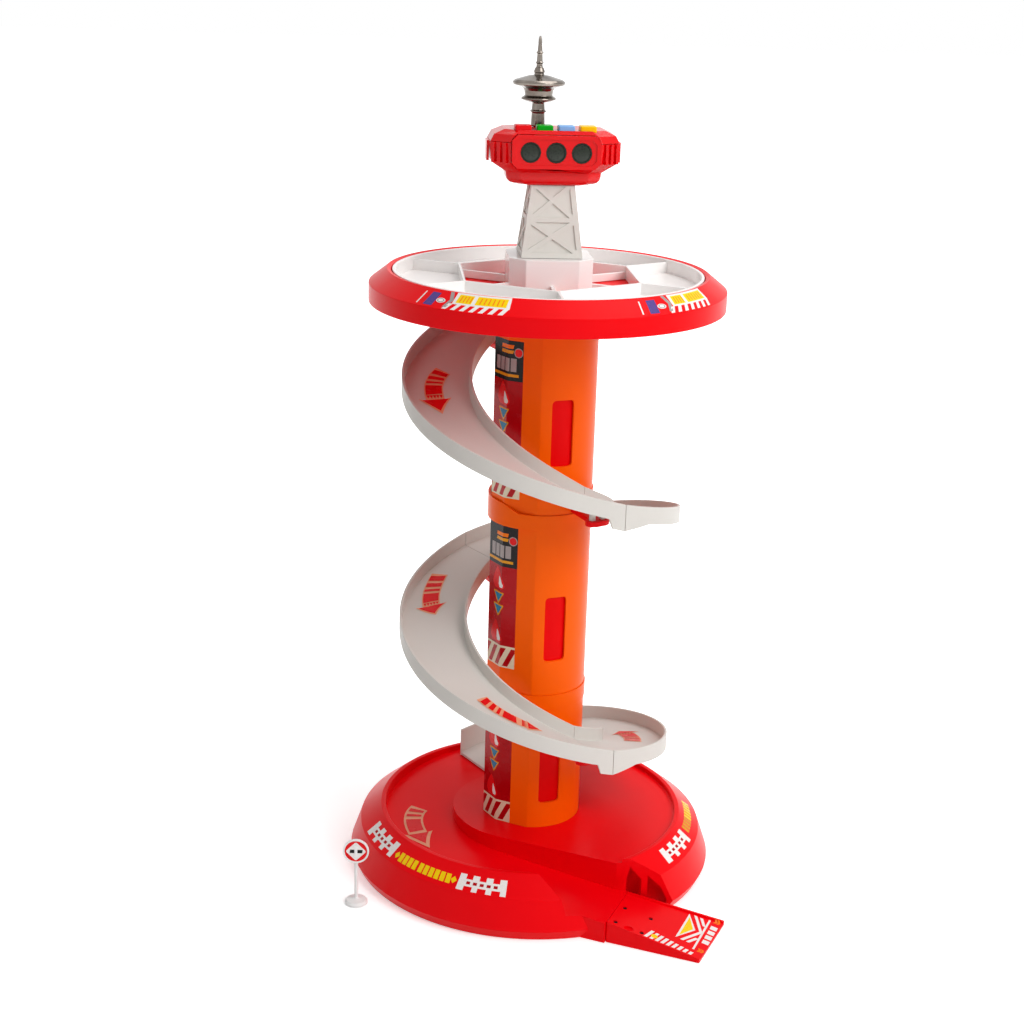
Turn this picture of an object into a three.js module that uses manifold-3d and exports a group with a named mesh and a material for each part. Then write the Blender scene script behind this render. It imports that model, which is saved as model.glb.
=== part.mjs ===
import * as THREE from 'three';
import { mergeVertices } from 'three/addons/utils/BufferGeometryUtils.js';
import Module from 'manifold-3d';

const wasm = await Module();
wasm.setup();

// Toy parking tower. Millimetres, +Z up, origin on the ground under the tower's axis. The front is -Y.
// Azimuths are degrees from the front towards the right, so the car channels fall as the azimuth grows.

// Fits and fineness
const seatGap = 0.3;
const slideGap = 0.6;
const cutOverrun = 1;
const weldDistance = 0.0001;
const bandStep = 7.5;
const ringFacets = 40;
const boreFacets = 8;
const curveFacets = 1;

// Base moulding: outer profile, wall and socket for the column
const baseFootRadius = 147;
const baseWideRadius = 151;
const baseWideHeight = 8.6;
const baseBandRadius = 142.8;
const baseBandHeight = 31.9;
const baseCrestRadius = 125.7;
const baseCrestHeight = 45.5;
const floorRadius = 122;
const floorHeight = 41.4;
const baseWall = 2.6;
const socketFloor = 6;
const socketWall = 2.8;
const baseRibCount = 12;
const baseRibWall = 2;
const baseRibLift = 2;

// Sunken track of the base and its straight way out
const trackInnerRadius = 65;
const trackStartAngle = -150;
const trackEndHeight = 28;
const exitTurn = -22;
const exitSlope = 0.1;
const exitNearSide = 114;
const exitCrestEnd = 53;
const exitSkirtEnd = 80;
const exitSkirtSide = 123;
const exitReach = 210;
const exitSpread = 170;
const skirtEndDepth = 97.5;
const tongueStart = 60;
const tongueEnd = 110;
const tongueNearSide = 116;
const tongueFarSide = 64;
const skirtOpeningShares = [
  [[0.12, 0], [0.12, 0.78], [0.38, 0.66], [0.38, 0]],
  [[0.5, 0], [0.5, 0.6], [0.76, 0.42], [0.9, 0.2], [0.9, 0]],
];

// Exit plate, clipped to the end of the base's tongue
const plateStartHeight = 16.2;
const plateTipHeight = 1.6;
const plateTipFar = 187.5;
const plateTipNear = 185.5;
const plateNearSide = 114;
const plateFarSide = 63;
const plateTipNearSide = 112.5;
const plateTipFarSide = 49;
const plateWall = 2.5;
const plateLip = 1.6;
const plateLipHeight = 1.4;
const plateHoleRadius = 1.8;
const plateHoleRows = [115.5, 137];
const plateHoleSides = [84.4, 107];
const plateRecessPlace = 127;
const plateRecessSide = 109.5;
const plateRecessRadius = 4;
const plateRecessDepth = 1.2;
const clipWidth = 12;
const clipLength = 6;
const clipBottom = 6;
const clipTop = 8.4;
const clipSides = [78, 100];

// Column of three sections that plug into each other
const columnRadius = 41.2;
const columnWall = 2.2;
const facetAngles = [-110.5, -71.5, -44.5, -5.5];
const columnArcFacets = 20;
const sectionPitch = 152.4;
const sectionJoint = 159;
const columnTop = 480;
const collarHeight = 12.2;
const collarProud = 0.8;
const collarInset = 1.2;
const plugInset = 1.5;
const plugWall = 1.7;
const plugHeight = 12.5;
const plugRoot = 3;
const riseHeight = 14.6;
const riseEnds = [-45, -24, 60, 70];
const flangeRadius = 44.2;
const flangeBottom = 457;
const flangeTop = 460;

// Windows and the liners behind them
const windowAngle = 21;
const windowWidth = 18;
const windowCorner = 4;
const windowSpans = [[62.9, 117], [188.5, 243.1], [350.8, 403.8]];
const linerWall = 1.3;
const linerMargin = 9;
const linerStart = -4;
const linerEnd = 35.5;

// Lift: doors, slot, platform and knob
const doorAngle = 180;
const doorSpread = 22.5;
const doorTops = [105, 298.5, 474];
const groundDoorAngle = 112;
const groundDoorTop = 75;
const doorCorner = 1.5;
const sillMargin = 1.2;
const slotAngle = 145;
const slotWidth = 7;
const slotBottom = 46.4;
const slotTop = 465;
const liftInset = 4.6;
const liftWall = 3;
const liftGuardHeight = 8;
const liftGuardWall = 1.6;
const liftGuardStart = -150;
const liftGuardEnd = 84;
const lugWidth = 6;
const lugBottom = 6;
const lugTop = 14;
const lugReach = 7;
const lugRoot = 5;
const knobInnerRadius = 42.6;
const knobOuterRadius = 54;
const knobWidth = 12;
const knobHeight = 14;
const knobCorner = 3;
const knobNotchStart = 132;
const knobNotchEnd = 207;

// Car channels: two ramps, two landings and the top landing
const channelInner = 57;
const channelOuter = 112;
const channelWall = 2;
const channelFloor = 2.3;
const channelDepth = 11.2;
const channelHem = 0.5;
const channelCurb = 0.8;
const rampStart = -146;
const rampEnd = 34;
const landingEnd = 214;
const topLandingStart = 150;
const jointAngle = 0.3;
const topRim = 461.5;
const upperStartRim = 451.8;
const upperEndRim = 338.5;
const lowerStartRim = 252;
const lowerEndRim = 137;
const groundRim = 66;
const groundDepth = 22;
const hemDrop = 7.5;
const hemAngle = 6;
const hemFade = 13;
const innerWallEnd = 86;
const innerWallFade = 2;
const apronAngle = 166;
const apronInner = 39.6;
const deepeningStart = 150;

// Brackets under the joints of the channels
const bracketLead = 11;
const bracketReach = 16;
const bracketPadRadius = 77;
const bracketPadHalf = 5.5;
const bracketWidth = 10;
const bracketThickness = 4;
const bracketEndInset = 4;
const bracketHookDrop = 3;
const postSpread = 3.5;
const postRadius = 2.5;
const pinRadius = 1.4;
const pinLength = 3;

// Deck ring
const deckSleeveInner = 41.6;
const deckSleeveOuter = 44.2;
const deckPlateBottom = 481.6;
const deckPlateTop = 484;
const deckSlopeRadius = 124;
const deckLipRise = 13.5;
const deckCrestHeight = deckPlateTop + deckLipRise;
const deckLipRadius = 120.8;
const deckEdgeRadius = 138;
const deckSlopeFall = 11;
const deckEdgeTop = deckCrestHeight - deckSlopeFall;
const deckSkirt = 14.5;
const deckEdgeBottom = deckEdgeTop - deckSkirt;
const deckWall = 2.4;
const deckRibCount = 12;
const deckRibWall = 2;
const deckRibDrop = 7;

// Parking carousel and its bearing
const wheelTurn = 5;
const wheelLift = 0.4;
const wheelFloor = 2;
const wheelRadius = 120;
const wheelRim = 2.5;
const wheelRimRise = 13;
const wheelRimHeight = deckPlateTop + wheelRimRise;
const wheelWall = 2;
const wheelWallRise = 11;
const wheelWallHeight = deckPlateTop + wheelWallRise;
const bayCount = 6;
const hexRadius = 78;
const spokeWidth = 3;
const spokeHeight = 6;
const hubSide = 64;
const hubChamfer = 11.8;
const hubTop = 509.7;
const hubWall = 2.4;
const hubBoreRadius = 14;
const bearingRadius = 8;
const bearingTop = 498;
const bearingWall = 2.4;
const capThickness = 2.5;
const capPlugHeight = 5;
const capPlugWall = 2;
const screwRadius = 1.5;
const screwHeadRadius = 4;
const screwHeadHeight = 2.6;
const wheelScrewLength = 14;
const mastScrewLength = 11;
const washerRadius = 11;
const washerHeight = 1.2;

// Lattice mast
const mastBottomSide = 46.5;
const mastTopSide = 32.7;
const mastTop = 563.7;
const mastWall = 3;
const mastRecess = 1.2;
const mastBar = 3.4;
const mastPost = 4;
const mastSplit = 538.3;
const mastSill = 4;
const mastHead = 0.6;
const mastSpigotWall = 2;
const mastSpigotDepth = 3;
const mastScrewSpread = 9;

// Control pod: plan, levels and openings
const podBottom = 564;
const podHalfLength = 48.8;
const podHalfDepth = 27;
const podDepthShare = 0.45;
const podChamferLengthShare = 0.29;
const podChamferDepthShare = 0.34;
const podParting = 595.5;
const podLevels = [[564, 22], [567, 18.8], [573.2, 13], [580.7, 1.5], [595.5, 0]];
const podRoofLevels = [[595.8, 0.4], [601, 3.2], [604.5, 11]];
const podWall = 2;
const podWallRise = 1.7;
const podTop = 604.5;
const podRibProud = 1.4;
const podRibWidth = 2.4;
const podRibPitch = 5;
const podEndBlock = 18;
const panelHalfWidth = 33;
const panelBottom = 577;
const panelDrop = 3;
const panelTop = podTop - panelDrop;
const panelFront = 30;
const panelBack = 23;
const panelWall = 2.4;
const panelChamfer = 4;
const lensPitch = 19;
const lensHeight = 589;
const lensHoleRadius = 7.7;
const lensRecess = 1.2;
const lensFlange = 1.3;
const lensFlangeWall = 1.4;

// Buttons on the pod
const buttonPitch = 16.2;
const buttonWidth = 12.3;
const buttonDepth = 13;
const buttonPlace = 15;
const buttonRise = 3.5;
const buttonTop = podTop + buttonRise;
const buttonFlange = 1;
const buttonFlangeHeight = 1.4;
const buttonStemRadius = 2.4;
const buttonStemLength = 2;
const buttonCorner = 1;

// Inside of the pod
const boardHalfLength = 34;
const boardFront = 21;
const boardBack = 2;
const boardThickness = 1.6;
const boardGap = 2.4;
const boardBossRadius = 2.6;
const boardBossSpread = 30;
const boardBossPlace = 3;
const speakerRadius = 11;
const speakerMagnetRadius = 6;
const speakerHeight = 2.4;
const speakerMagnetHeight = 4;
const speakerPlace = 24;
const speakerSeat = 576;
const holderHalfLength = 20;
const holderBack = 24.7;
const holderDepth = 9;
const holderDrop = 1.9;
const holderHeight = 11.6;
const holderTop = podParting - holderDrop;
const holderBottom = holderTop - holderHeight;
const holderWall = 1.5;
const cellRadius = 4.8;
const cellThickness = 5;
const cellStart = -14;
const cellPitch = 10.8;
const cellCount = 3;
const doorHalfLength = 18;
const doorInset = 0.6;
const doorBottom = holderBottom + doorInset;
const doorTopHeight = holderTop - doorInset;
const doorThickness = 2;
const doorScrewPlace = 16;
const doorScrewSink = 1.2;
const smallScrewRadius = 1.1;
const smallHeadRadius = 2.2;
const smallHeadHeight = 1.4;
const smallScrewLength = 7;

// Antenna, a turned piece on the pod's roof
const antennaPlaceX = -11;
const antennaPlaceY = 8;
const antennaPegRadius = 2.6;
const antennaPegLength = 5;
const antennaHeight = 66;
const antennaFacets = 12;
const antennaRadius = 20;
const antennaShares = [
  [0.27, 0], [0.25, 0.13], [0.25, 0.155], [0.33, 0.17], [0.25, 0.185], [0.23, 0.265], [0.5, 0.28],
  [0.67, 0.305], [0.63, 0.325], [0.52, 0.345], [0.55, 0.4], [0.62, 0.43], [0.97, 0.465], [1, 0.495],
  [0.9, 0.52], [0.4, 0.565], [0.17, 0.575], [0.21, 0.61], [0.16, 0.65], [0.12, 0.66], [0.115, 0.695],
  [0.17, 0.706], [0.115, 0.717], [0.1, 0.8], [0.15, 0.817], [0.095, 0.83], [0.06, 0.96], [0.04, 0.99],
];

// Road sign that stands beside the base
const signX = -138.3;
const signY = -98.3;
const signFootRadius = 9.2;
const signFootHeight = 3.6;
const signPostRadius = 1.5;
const signCentreHeight = 47.4;
const signRadius = 10.4;
const signThickness = 2;

// Colours and finishes
const paint = (color, roughness, metalness = 0) => new THREE.MeshStandardMaterial({ color, roughness, metalness });
const redPlastic = paint(0xe8111a, 0.35);
const glossyRed = paint(0xdd0a12, 0.12);
const orangePlastic = paint(0xf25a08, 0.35);
const slotRed = paint(0xe00208, 0.4);
const greyPlastic = paint(0xcfcac4, 0.45);
const mastGrey = paint(0xc4c3bd, 0.5);
const whitePlastic = paint(0xf4f1ef, 0.2);
const darkLens = paint(0x1d2320, 0.1);
const darkChrome = paint(0x6a625c, 0.22, 1);
const steel = paint(0xb4b6b8, 0.3, 1);
const boardGreen = paint(0x1f6b3a, 0.5);
const blackPlastic = paint(0x202124, 0.5);
const buttonColours = { red: 0xe01018, green: 0x0ea51e, blue: 0x7fb2e6, yellow: 0xf7c105 };

const quarterTurn = Math.PI / 2;
const fullTurn = 360;
const halfTurn = fullTurn / 2;
const rightAngle = halfTurn / 2;
const bayTurn = fullTurn / bayCount;

/** Closed solid of a geometry whose equal points are merged, with its faces pointing out. */
function solid(geometry) {
  const bare = new THREE.BufferGeometry();
  bare.setAttribute('position', geometry.getAttribute('position'));
  if (geometry.index) bare.setIndex(geometry.index);
  const merged = mergeVertices(bare, weldDistance);
  const points = merged.getAttribute('position');
  const index = merged.index.array;
  const corner = [new THREE.Vector3(), new THREE.Vector3(), new THREE.Vector3()];
  const kept = [];
  let volume = 0;
  for (let start = 0; start < index.length; start += 3) {
    const [a, b, c] = index.slice(start, start + 3);
    if (a !== b && b !== c && c !== a) {
      kept.push(a, b, c);
      [a, b, c].forEach((point, place) => corner[place].fromBufferAttribute(points, point));
      volume += corner[0].dot(corner[1].cross(corner[2]));
    }
  }
  if (volume < 0) kept.reverse();
  const triVerts = Uint32Array.from(kept);
  return new wasm.Manifold(new wasm.Mesh({ numProp: 3, vertProperties: points.array, triVerts }));
}

/** One solid of several that overlap. */
function joined(...bodies) {
  return bodies.reduce((whole, body) => whole.add(body));
}

/** A solid with several cut out of it. */
function cut(body, ...cutters) {
  return cutters.reduce((rest, cutter) => rest.subtract(cutter), body);
}

/** Point of the plan at a radius and an azimuth. */
function planPoint(radius, azimuth) {
  const angle = THREE.MathUtils.degToRad(azimuth);
  return new THREE.Vector2(radius * Math.sin(angle), -radius * Math.cos(angle));
}

/** Body turned about the Z axis from a profile of radius and height, which closes on itself or runs to the axis. */
function turned(profile, facets = ringFacets, matrix = new THREE.Matrix4()) {
  const outline = profile[0][0] === 0 ? profile : [...profile, profile[0]];
  const points = outline.map(([radius, height]) => new THREE.Vector2(radius, height));
  const geometry = new THREE.LatheGeometry(points, facets);
  geometry.rotateX(quarterTurn);
  return solid(geometry.applyMatrix4(matrix));
}

/** Round bar between two heights. */
function cylinder(radius, bottom, top, facets = boreFacets, matrix = new THREE.Matrix4()) {
  return turned([[0, bottom], [radius, bottom], [radius, top], [0, top]], facets, matrix);
}

/** Round tube between two heights. */
function tube(inner, outer, bottom, top, facets = ringFacets) {
  return turned([[inner, bottom], [outer, bottom], [outer, top], [inner, top]], facets);
}

/** Upright body of an outline, given as a Shape or as a list of points. */
function prism(outline, bottom, top, matrix = new THREE.Matrix4()) {
  const shape = outline instanceof THREE.Shape ? outline : new THREE.Shape(outline);
  const settings = { depth: top - bottom, bevelEnabled: false, curveSegments: curveFacets };
  const geometry = new THREE.ExtrudeGeometry(shape, settings);
  geometry.translate(0, 0, bottom);
  return solid(geometry.applyMatrix4(matrix));
}

/** Box between two corners. */
function box(low, high, matrix = new THREE.Matrix4()) {
  const size = high.map((value, axis) => value - low[axis]);
  const geometry = new THREE.BoxGeometry(...size);
  geometry.translate(...low.map((value, axis) => value + size[axis] / 2));
  return solid(geometry.applyMatrix4(matrix));
}

/** Rectangle with round corners, about the middle of its width, from its bottom to its top. */
function roundedRectangle(width, bottom, top, corner) {
  const half = width / 2;
  const shape = new THREE.Shape();
  shape.moveTo(-half + corner, bottom);
  shape.absarc(half - corner, bottom + corner, corner, -quarterTurn, 0);
  shape.absarc(half - corner, top - corner, corner, 0, quarterTurn);
  shape.absarc(-half + corner, top - corner, corner, quarterTurn, 2 * quarterTurn);
  shape.absarc(-half + corner, bottom + corner, corner, 2 * quarterTurn, 3 * quarterTurn);
  return shape;
}

/** Frame at an azimuth: local X runs across, local Y up and local Z away from the axis. */
function facing(azimuth, x = 0, y = 0, z = 0) {
  const angle = THREE.MathUtils.degToRad(azimuth);
  const across = new THREE.Vector3(Math.cos(angle), Math.sin(angle), 0);
  const up = new THREE.Vector3(0, 0, 1);
  const out = new THREE.Vector3().crossVectors(across, up);
  return new THREE.Matrix4().makeBasis(across, up, out).setPosition(x, y, z);
}

/** Triangles over a flat section, turned the way the section runs round. */
function capTriangles(section) {
  const normal = new THREE.Vector3();
  section.forEach((point, place) => {
    const next = section[(place + 1) % section.length];
    normal.x += (point.y - next.y) * (point.z + next.z);
    normal.y += (point.z - next.z) * (point.x + next.x);
    normal.z += (point.x - next.x) * (point.y + next.y);
  });
  normal.normalize();
  const along = new THREE.Vector3().subVectors(section[1], section[0]).normalize();
  const across = new THREE.Vector3().crossVectors(normal, along);
  const flat = section.map((point) => new THREE.Vector2(point.dot(along), point.dot(across)));
  return THREE.ShapeUtils.triangulateShape(flat, []).map(([a, b, c]) => {
    const area = THREE.ShapeUtils.area([flat[a], flat[b], flat[c]]);
    return area > 0 ? [a, b, c] : [c, b, a];
  });
}

/** Closed body through a row of flat sections with the same number of corners. */
function loft(sections) {
  const corners = sections[0].length;
  const last = (sections.length - 1) * corners;
  const index = [];
  for (let start = 0; start < last; start += corners) {
    for (let place = 0; place < corners; place += 1) {
      const next = (place + 1) % corners;
      index.push(start + place, start + next, start + corners + next);
      index.push(start + place, start + corners + next, start + corners + place);
    }
  }
  capTriangles(sections[0]).forEach(([a, b, c]) => index.push(a, c, b));
  capTriangles(sections.at(-1)).forEach(([a, b, c]) => index.push(last + a, last + b, last + c));
  const geometry = new THREE.BufferGeometry().setFromPoints(sections.flat());
  geometry.setIndex(index);
  return solid(geometry);
}

/** Evenly spaced values from one end to the other, with further values among them. */
function steps(from, to, step = bandStep, further = []) {
  const count = Math.max(1, Math.round((to - from) / step));
  const even = Array.from({ length: count + 1 }, (_, place) => from + ((to - from) * place) / count);
  const inside = further.filter((value) => value > from && value < to);
  const spare = step / 4;
  const isEnd = (value) => value === from || value === to;
  const kept = even.filter((value) => isEnd(value) || inside.every((other) => Math.abs(other - value) > spare));
  return [...kept, ...inside].sort((a, b) => a - b);
}

/** Body of sections that stand upright round the axis, each a list of radius and height. */
function sweepAbout(azimuths, sectionAt) {
  return loft(azimuths.map((azimuth) => sectionAt(azimuth).map(([radius, height]) => {
    const point = planPoint(radius, azimuth);
    return new THREE.Vector3(point.x, point.y, height);
  })));
}

/** Part of a flat ring between two azimuths. */
function ringPart(inner, outer, from, to, bottom, top) {
  return sweepAbout(steps(from, to), () => [[inner, bottom], [outer, bottom], [outer, top], [inner, top]]);
}

/** Straight change between places of a table, level beyond its ends. */
function along(table) {
  return (place) => {
    const next = table.findIndex(([value]) => value >= place);
    if (next === 0) return table[0][1];
    if (next < 0) return table.at(-1)[1];
    const [[startPlace, start], [endPlace, end]] = [table[next - 1], table[next]];
    return start + ((end - start) * (place - startPlace)) / (endPlace - startPlace);
  };
}

const [arcStart, arcEnd] = [facetAngles.at(-1), facetAngles[0] + fullTurn];
const arcAzimuths = steps(arcStart, arcEnd, (arcEnd - arcStart) / columnArcFacets);
const facetAzimuths = facetAngles.slice(1).flatMap((end, place) =>
  steps(facetAngles[place], end, (arcEnd - arcStart) / columnArcFacets).slice(1));

/** Outline of the column, round but for three flat facets at its left, drawn in or out by an offset. */
function columnOutline(offset) {
  const corners = [...facetAngles.slice(1), ...arcAzimuths.slice(1)];
  return corners.map((azimuth) => planPoint(columnRadius + offset, azimuth));
}

/** Round outline whose corners stand over those of the column. */
function collarOutline(radius) {
  return [...facetAzimuths, ...arcAzimuths.slice(1)].map((azimuth) => planPoint(radius, azimuth));
}

/** Opening through the column's wall with round corners. */
function wallCutter(azimuth, width, bottom, top, corner) {
  const reach = columnRadius + flangeRadius;
  return prism(roundedRectangle(width, bottom, top, corner), columnRadius / 2, reach, facing(azimuth));
}

/** Straight bar in the plan with round ends. */
function planBar(from, to, half, bottom, top) {
  const turn = Math.atan2(to.y - from.y, to.x - from.x);
  const shape = new THREE.Shape();
  [[to, -1], [to, 0], [from, 1], [from, 2]].forEach(([{ x, y }, quarter]) =>
    shape.absarc(x, y, half, turn + quarter * quarterTurn, turn + (quarter + 1) * quarterTurn));
  return prism(shape, bottom, top);
}

const garage = new THREE.Group();
const carousel = new THREE.Group();
carousel.rotation.z = THREE.MathUtils.degToRad(wheelTurn);
garage.add(carousel);

/** Named mesh of a solid, put in a group. */
function addPiece(group, name, body, material) {
  const { vertProperties, triVerts } = body.getMesh();
  const geometry = new THREE.BufferGeometry();
  geometry.setAttribute('position', new THREE.BufferAttribute(new Float32Array(vertProperties), 3));
  geometry.setIndex(new THREE.BufferAttribute(new Uint32Array(triVerts), 1));
  geometry.computeVertexNormals();
  const mesh = new THREE.Mesh(geometry, material);
  mesh.name = name;
  group.add(mesh);
}

const exitFrame = new THREE.Matrix4().makeRotationZ(THREE.MathUtils.degToRad(exitTurn));
const toExit = exitFrame.clone().invert();
const trackHeight = along([[trackStartAngle, floorHeight], [exitTurn, trackEndHeight]]);
const exitHeight = (place) => trackEndHeight - exitSlope * place;

/** Outline of the straight way out, in the exit's own frame, grown by a wall. */
function exitOutline(grow) {
  const outer = floorRadius + grow;
  const near = -exitNearSide - grow;
  const meet = new THREE.Vector3(0, grow - skirtEndDepth, 0);
  const turn = THREE.MathUtils.degToRad(exitTurn);
  const kneePlace = (skirtEndDepth - grow + (grow - trackInnerRadius) * Math.cos(turn)) / -Math.sin(turn);
  const farEnd = meet.setX(exitSpread).applyMatrix4(toExit);
  const shape = new THREE.Shape();
  shape.moveTo(0, grow - trackInnerRadius);
  shape.lineTo(kneePlace, grow - trackInnerRadius);
  shape.lineTo(farEnd.x, farEnd.y);
  shape.lineTo(exitReach, -exitSpread);
  shape.lineTo(exitSkirtEnd - grow, -exitSpread);
  shape.lineTo(exitSkirtEnd - grow, -exitSkirtSide - grow);
  shape.lineTo(exitCrestEnd, near);
  shape.absarc(0, 0, outer, Math.asin(near / outer), -quarterTurn, true);
  return shape;
}

/** Space above the sunken track and its way out, grown by a wall. */
function trackCut(grow) {
  const top = baseCrestHeight + cutOverrun;
  const bend = sweepAbout(steps(trackStartAngle, exitTurn + 1), (azimuth) => {
    const floor = trackHeight(azimuth) - grow;
    const [inside, outside] = [trackInnerRadius - grow, floorRadius + grow];
    return [[inside, floor], [outside, floor], [outside, top], [inside, top]];
  });
  const slab = loft([-trackInnerRadius, exitReach].map((place) => {
    const floor = exitHeight(place) - grow;
    return [[-exitSpread, floor], [0, floor], [0, top], [-exitSpread, top]].map(([side, height]) =>
      new THREE.Vector3(place, side, height).applyMatrix4(exitFrame));
  }));
  const straight = prism(exitOutline(grow), -top, top, exitFrame).intersect(slab);
  return bend.add(straight);
}

/** Space of the exit plate, cleared right down through the base. */
function exitCut(grow) {
  const top = baseCrestHeight + cutOverrun;
  const beyond = box([tongueEnd - grow, -exitSpread, -top], [exitReach, exitSpread, top], exitFrame);
  return prism(exitOutline(grow), -cutOverrun, top, exitFrame).intersect(beyond);
}

/** Frame of the exit plate's clips at one side of the tongue. */
function clipBox(side, grow) {
  const half = clipWidth / 2 + grow;
  const low = [tongueEnd - clipLength - grow, -side - half, clipBottom - grow];
  const high = [tongueEnd + plateWall, -side + half, clipTop + grow];
  return box(low, high, exitFrame);
}

function makeBase() {
  const outer = turned([
    [0, 0], [baseFootRadius, 0], [baseWideRadius, baseWideHeight], [baseBandRadius, baseBandHeight],
    [baseCrestRadius, baseCrestHeight], [floorRadius, baseCrestHeight], [floorRadius, floorHeight], [0, floorHeight],
  ]);
  const inner = turned([
    [0, -cutOverrun], [baseFootRadius - baseWall, -cutOverrun], [baseWideRadius - baseWall, baseWideHeight],
    [baseBandRadius - baseWall, baseBandHeight - baseWall / 2], [baseCrestRadius, floorHeight],
    [baseCrestRadius - baseWall / 2, floorHeight - baseWall], [0, floorHeight - baseWall],
  ]);
  const tongue = box([tongueStart, -tongueNearSide, 0], [tongueEnd, -tongueFarSide, trackEndHeight], exitFrame);
  const tongueHollow = box([tongueStart, baseWall - tongueNearSide, -cutOverrun],
    [tongueEnd - baseWall, -tongueFarSide - baseWall, trackEndHeight], exitFrame);
  const socket = cylinder(columnRadius + seatGap + socketWall, -2 * cutOverrun, baseCrestHeight, ringFacets);
  const ribs = Array.from({ length: baseRibCount }, (_, place) => {
    const half = baseRibWall / 2;
    const turn = facing((place * fullTurn) / baseRibCount);
    return box([-half, baseRibLift, columnRadius], [half, baseCrestHeight, baseWideRadius], turn);
  });
  const hollow = cut(inner.add(tongueHollow), trackCut(baseWall), exitCut(baseWall), socket, ...ribs);
  const bore = prism(columnOutline(seatGap), socketFloor, baseCrestHeight);
  const endInner = Math.sqrt(floorRadius ** 2 - skirtEndDepth ** 2);
  const endOuter = Math.sqrt(baseWideRadius ** 2 - skirtEndDepth ** 2);
  const openings = skirtOpeningShares.map((shares) => {
    const outline = shares.map(([across, up]) =>
      new THREE.Vector2(endInner + across * (endOuter - endInner), up * baseCrestHeight));
    return prism(outline, skirtEndDepth - 2 * baseWall, skirtEndDepth + cutOverrun, facing(0));
  });
  const clipSlots = clipSides.map((side) => clipBox(side, seatGap));
  return cut(outer.add(tongue), trackCut(0), exitCut(0), hollow, bore, ...openings, ...clipSlots);
}

function makeExitPlate() {
  const start = tongueEnd + seatGap;
  const run = plateTipFar - start;
  const slope = (plateTipHeight - plateStartHeight) / run;
  const surface = (place, drop) => plateStartHeight - drop + slope * (place - start);
  const outline = (inset) => [
    [start + inset, -plateNearSide + inset], [plateTipNear - inset, -plateTipNearSide + inset],
    [plateTipFar - inset, -plateTipFarSide - inset], [start + inset, -plateFarSide - inset],
  ].map(([place, side]) => new THREE.Vector2(place, side));
  const below = (drop) => loft([start - cutOverrun, plateTipFar + cutOverrun].map((place) => {
    const height = surface(place, drop);
    const bottom = -plateStartHeight - baseCrestHeight;
    return [[-exitSpread, bottom], [0, bottom], [0, height], [-exitSpread, height]].map(([side, level]) =>
      new THREE.Vector3(place, side, level).applyMatrix4(exitFrame));
  }));
  const whole = prism(outline(0), 0, baseCrestHeight, exitFrame);
  const wedge = whole.intersect(below(-plateLipHeight));
  const wayOutline = [
    [start - cutOverrun, plateLip - plateNearSide], [plateTipNear + cutOverrun, plateLip - plateTipNearSide],
    [plateTipFar + cutOverrun, -plateLip - plateTipFarSide], [start - cutOverrun, -plateLip - plateFarSide],
  ].map(([place, side]) => new THREE.Vector2(place, side));
  const way = prism(wayOutline, 0, baseCrestHeight, exitFrame).subtract(below(0));
  const hollow = prism(outline(plateWall), -cutOverrun, baseCrestHeight, exitFrame).intersect(below(plateWall));
  const spot = (place, side) => exitFrame.clone().multiply(new THREE.Matrix4().makeTranslation(place, -side, 0));
  const holes = plateHoleRows.flatMap((place) => plateHoleSides.map((side) =>
    cylinder(plateHoleRadius, -cutOverrun, baseCrestHeight, boreFacets, spot(place, side))));
  const recessFloor = surface(plateRecessPlace, plateRecessDepth);
  const recessSpot = spot(plateRecessPlace, plateRecessSide);
  const recess = cylinder(plateRecessRadius, recessFloor, baseCrestHeight, boreFacets, recessSpot);
  const clips = clipSides.map((side) => clipBox(side, 0));
  return joined(cut(wedge, way, hollow, ...holes, recess), ...clips);
}

function makeSignPost() {
  const bevel = signFootHeight / 2;
  return turned([
    [0, 0], [signFootRadius, 0], [signFootRadius, bevel], [signFootRadius - bevel, signFootHeight],
    [signPostRadius, signFootHeight], [signPostRadius, signCentreHeight], [0, signCentreHeight],
  ], boreFacets, new THREE.Matrix4().makeTranslation(signX, signY, 0));
}

function makeSignDisc() {
  const front = facing(0, signX, signY, signCentreHeight);
  const back = signPostRadius + seatGap;
  const disc = cylinder(signRadius, back, back + signThickness, 2 * boreFacets, front);
  const [low, high] = [signCentreHeight - signRadius / 2, signCentreHeight + signRadius / 2];
  const sleeve = tube(back, back + signThickness, low, high, boreFacets);
  return disc.add(sleeve.translate([signX, signY, 0]));
}

/** Wall of the upper end of a section that stands higher round the back than in front. */
function riseRing(inner, outer, grow) {
  const [backLeft, frontLeft, frontRight, backRight] = riseEnds;
  const joint = sectionJoint + sectionPitch;
  const top = along([[frontRight - grow, joint + grow], [backRight - grow, joint + riseHeight + grow],
    [backLeft + fullTurn + grow, joint + riseHeight + grow], [frontLeft + fullTurn + grow, joint + grow]]);
  const [start, end] = [frontRight - grow, frontLeft + fullTurn + grow];
  const bends = [backRight - grow, backLeft + fullTurn + grow];
  const corners = [...arcAzimuths, ...facetAzimuths.map((azimuth) => azimuth + fullTurn), ...bends];
  const inside = corners.filter((azimuth) => azimuth > start && azimuth < end).sort((a, b) => a - b);
  const azimuths = [start, ...inside, end];
  return sweepAbout(azimuths, (azimuth) => [[inner, joint - plugRoot], [outer, joint - plugRoot],
    [outer, top(azimuth) + weldDistance], [inner, top(azimuth) + weldDistance]]);
}

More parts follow.
